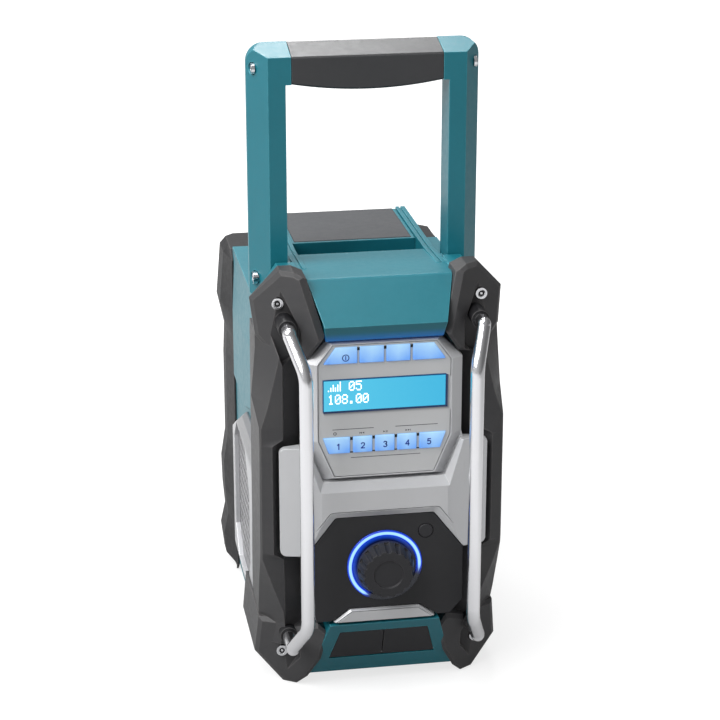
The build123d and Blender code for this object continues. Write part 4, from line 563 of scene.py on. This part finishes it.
# Shadow and blue side light of the display window, on the plate to its right and below it
shade = surface("window_shade", rgb(199, 200, 201), 0.4, rgb(205, 206, 207), metallic=0.2, grain=3200,
                bump=0.012, mottle=0.25)
off = shade.math("MAXIMUM", shade.math("SUBTRACT", shade.axis("X"), WINDOW_RIGHT * MM),
                 shade.math("SUBTRACT", WINDOW_LOW * MM, shade.axis("Z")))
repaint(shade, shade.span(off, 3.2 * MM, 0.6 * MM, 0.0, 0.85, smooth=True), rgb(80, 85, 100))
repaint(shade, shade.span(off, 1.15 * MM, 0.75 * MM, smooth=True), rgb(8, 52, 104))
corner = [(-40.3, 202.9), (-39.4, 199.8), (43.7, 199.8), (43.7, 223.4), (40.6, 224.6), (40.6, 202.9)]
piece("window_shade", front_mesh("window_shade", [corner], FACE_Y + 0.01, 0.03), shade.material,
      "chassis")

# Fine lines, transport symbols and a small round mark, printed above and below the preset keys
PRINTED_LINES = ((-34.2, -7.1, 190.2), (7.2, 35.2, 190.2), (-22.1, 23.9, 170.2))
LINE_WIDTH = 0.4
SYMBOL_Z = 187.3
SYMBOL_HALF = 0.65
SYMBOLS = ((-14.6, "back"), (0.4, "play"), (15.1, "next"))


def transport(x, kind):
    """Arrow heads and bars of one symbol, centred near x."""
    low, high = SYMBOL_Z - SYMBOL_HALF, SYMBOL_Z + SYMBOL_HALF
    way = -1 if kind == "back" else 1
    found = []
    for step in ((-1.1, 0.5) if kind != "play" else (-1.1,)):
        foot = x + way * (step - 0.1)
        found.append([(foot - way * 0.05, low), (foot + way * 1.25, SYMBOL_Z), (foot - way * 0.05, high)])
    if kind == "play":
        found += [block(x + 0.5, low, x + 0.85, high), block(x + 1.2, low, x + 1.55, high)]
    else:
        end = x + way * 1.95
        found.append(block(min(end, end + 0.3), low, max(end, end + 0.3), high))
    return found


lines = [block(x0, z, x1, z + LINE_WIDTH) for x0, x1, z in PRINTED_LINES]
for x, kind in SYMBOLS:
    lines += transport(x, kind)
lines += stroke(arc(-32.6, 187.6, 0.9, 0, 360, 16), 0.35)
flat_piece("panel_print", lines, FACE_Y, INK, ink_dark, "chassis")

# Small dark stops between the keys, at the top of each gap and at the foot of the preset row
UPPER_GAPS, UPPER_TOP = (-17.2, 0.2, 17.5), 246.2
PRESET_GAPS, PRESET_TOP, PRESET_FOOT = (-21.75, -7.15, 7.5, 22.1), 184.8, 174.4
STOP_HALF, STOP_HEIGHT = 0.85, 2.0
stops = [block(x - STOP_HALF, UPPER_TOP - STOP_HEIGHT, x + STOP_HALF, UPPER_TOP) for x in UPPER_GAPS]
for x in PRESET_GAPS:
    stops.append(block(x - STOP_HALF, PRESET_TOP - STOP_HEIGHT, x + STOP_HALF, PRESET_TOP))
    stops.append(block(x - STOP_HALF, PRESET_FOOT - 0.4, x + STOP_HALF, PRESET_FOOT + 0.3))
flat_piece("key_stops", stops, FACE_Y, 0.25, socket_black_and_shade, "chassis")

# Light of the ring on the panel between the ring and the knob, strongest at the upper left
PANEL_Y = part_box("knob_panel")[0].y / MM
piece("ring_spill", annulus("ring_spill", 0, PANEL_Y - SUNK, KNOB_Z / MM, *SPILL_RADII, 0.15),
      spill_material(KNOB_Z), "chassis")

# Sockets with a pin in the screw heads, and the dark collars round the ends of the tubes
screw_sockets("bumper_screw", "bumper_screws", "Y", 0.8, "chassis")
screw_sockets("handle_screw", "handle_screws", "X", 0.8, "handle")
screw_sockets("pivot_screw", "handle_pivots", "X", 1.4, "chassis")

for side, tag in ((-1, "left"), (1, "right")):
    ends = [((side * COLLAR_X, 0, z), "Y", [
        (BUMPER_WELL_Y, COLLAR_RADIUS), (front + 0.5, COLLAR_RADIUS), (front - 0.06, COLLAR_RADIUS - 0.4),
        (front - 0.06, TUBE_RADIUS)]) for z, front in COLLARS]
    lathed(f"tube_collars_{tag}", ends, socket_black_and_shade, "chassis")


# ------------------------------------------------------------- stage and light
def plain_stage():
    """Pale floor that keeps the shadow, white to the camera."""
    bm = bmesh.new()
    bmesh.ops.create_grid(bm, x_segments=8, y_segments=8, size=6)
    mesh = to_mesh(bm, "floor")
    floor = bpy.data.objects.new("floor", mesh)
    bpy.context.scene.collection.objects.link(floor)
    g = Graph("floor_white")
    pale = g.mix(g.noise(3), (0.3, 0.3, 0.3, 1), (0.31, 0.31, 0.31, 1))
    shade = g.node("ShaderNodeBsdfDiffuse", {"Color": pale})
    path = g.node("ShaderNodeLightPath")
    x = g.axis("X")
    far = g.length(x, g.axis("Y"))
    # to the camera: pale round the object, where its shadow lies, and white further out
    seen = g.math("MULTIPLY", path.outputs["Is Camera Ray"], g.span(far, 0.35, 1.1, 0.74, 1.0, smooth=True))
    # in reflections: dim close to the object and to its right
    mirrored = g.math("MAXIMUM", path.outputs["Is Glossy Ray"], path.outputs["Is Transmission Ray"])
    share = g.math("MULTIPLY", g.span(far, 0.12, 0.45, 0.15, 0.55), g.span(x, 0.2, 0.7, 1.0, 0.2))
    level = g.math("ADD", seen, g.math("MULTIPLY", mirrored, share))
    glow = g.node("ShaderNodeEmission", {"Color": (1, 1, 1, 1), "Strength": level})
    both_shaders = g.node("ShaderNodeAddShader")
    g.tree.links.new(shade.outputs[0], both_shaders.inputs[0])
    g.tree.links.new(glow.outputs[0], both_shaders.inputs[1])
    g.tree.links.new(both_shaders.outputs[0], g.out.inputs["Surface"])
    mesh.materials.append(g.material)


def plain_world(ambient, left, right):
    """Even light: white to the camera, soft on the object, and in reflections lighter from the left."""
    world = bpy.data.worlds.new("studio")
    bpy.context.scene.world = world
    world.use_nodes = True
    tree = world.node_tree
    tree.nodes.clear()
    path = tree.nodes.new("ShaderNodeLightPath")
    way = tree.nodes.new("ShaderNodeSeparateXYZ")
    tree.links.new(tree.nodes.new("ShaderNodeTexCoord").outputs["Generated"], way.inputs[0])
    across = tree.nodes.new("ShaderNodeMapRange")
    for key, value in (("From Min", -0.7), ("From Max", 0.8), ("To Min", left), ("To Max", right)):
        across.inputs[key].default_value = value
    tree.links.new(way.outputs["X"], across.inputs["Value"])
    previous = ambient
    rays = (("Is Glossy Ray", across.outputs[0]), ("Is Transmission Ray", 1.0), ("Is Camera Ray", 1.0))
    for ray, strength in rays:
        level = tree.nodes.new("ShaderNodeMix")
        tree.links.new(path.outputs[ray], level.inputs[0])
        for socket, value in ((level.inputs[2], previous), (level.inputs[3], strength)):
            if isinstance(value, bpy.types.NodeSocket):
                tree.links.new(value, socket)
            else:
                socket.default_value = value
        previous = level.outputs[0]
    back = tree.nodes.new("ShaderNodeBackground")
    back.inputs["Color"].default_value = (1, 1, 1, 1)
    tree.links.new(previous, back.inputs["Strength"])
    out = tree.nodes.new("ShaderNodeOutputWorld")
    tree.links.new(back.outputs[0], out.inputs["Surface"])


def lamp(name, place, aim, size, power, mirrored=True):
    """Soft rectangular lamp, unseen by the camera, and by reflections too unless mirrored."""
    data = bpy.data.lights.new(name, "AREA")
    data.shape = "RECTANGLE"
    data.size, data.size_y = size
    data.energy = power
    made = bpy.data.objects.new(name, data)
    bpy.context.scene.collection.objects.link(made)
    made.location = place
    made.rotation_euler = (Vector(aim) - Vector(place)).to_track_quat("-Z", "Y").to_euler()
    made.visible_camera = False
    made.visible_glossy = mirrored


plain_stage()
plain_world(0.25, 0.6, 0.16)
lamp("key", (-1.6, -0.75, 1.75), (0, 0, 0.2), (2.0, 1.7), 64)
lamp("top", (-0.1, 1.35, 1.95), (0, 0, 0.3), (1.1, 0.9), 34)
lamp("over", (-0.35, -0.45, 2.1), (0, 0, 0.25), (0.9, 0.9), 13)
lamp("right", (1.9, -0.5, 0.7), (0, 0, 0.2), (1.2, 1.2), 9, mirrored=False)

# --------------------------------------------------------------------- camera
lens = bpy.data.cameras.new("camera")
lens.lens = 106.68
lens.sensor_width = 36
lens.sensor_fit = "HORIZONTAL"
lens.clip_start = 0.05
lens.clip_end = 50
camera = bpy.data.objects.new("camera", lens)
bpy.context.scene.collection.objects.link(camera)
camera.location = (-0.23226, -1.37758, 0.69607)
camera.rotation_euler = Vector((0.158188, 0.928582, -0.335728)).to_track_quat("-Z", "Y").to_euler()
bpy.context.scene.camera = camera
bpy.context.scene.view_settings.view_transform = "Standard"
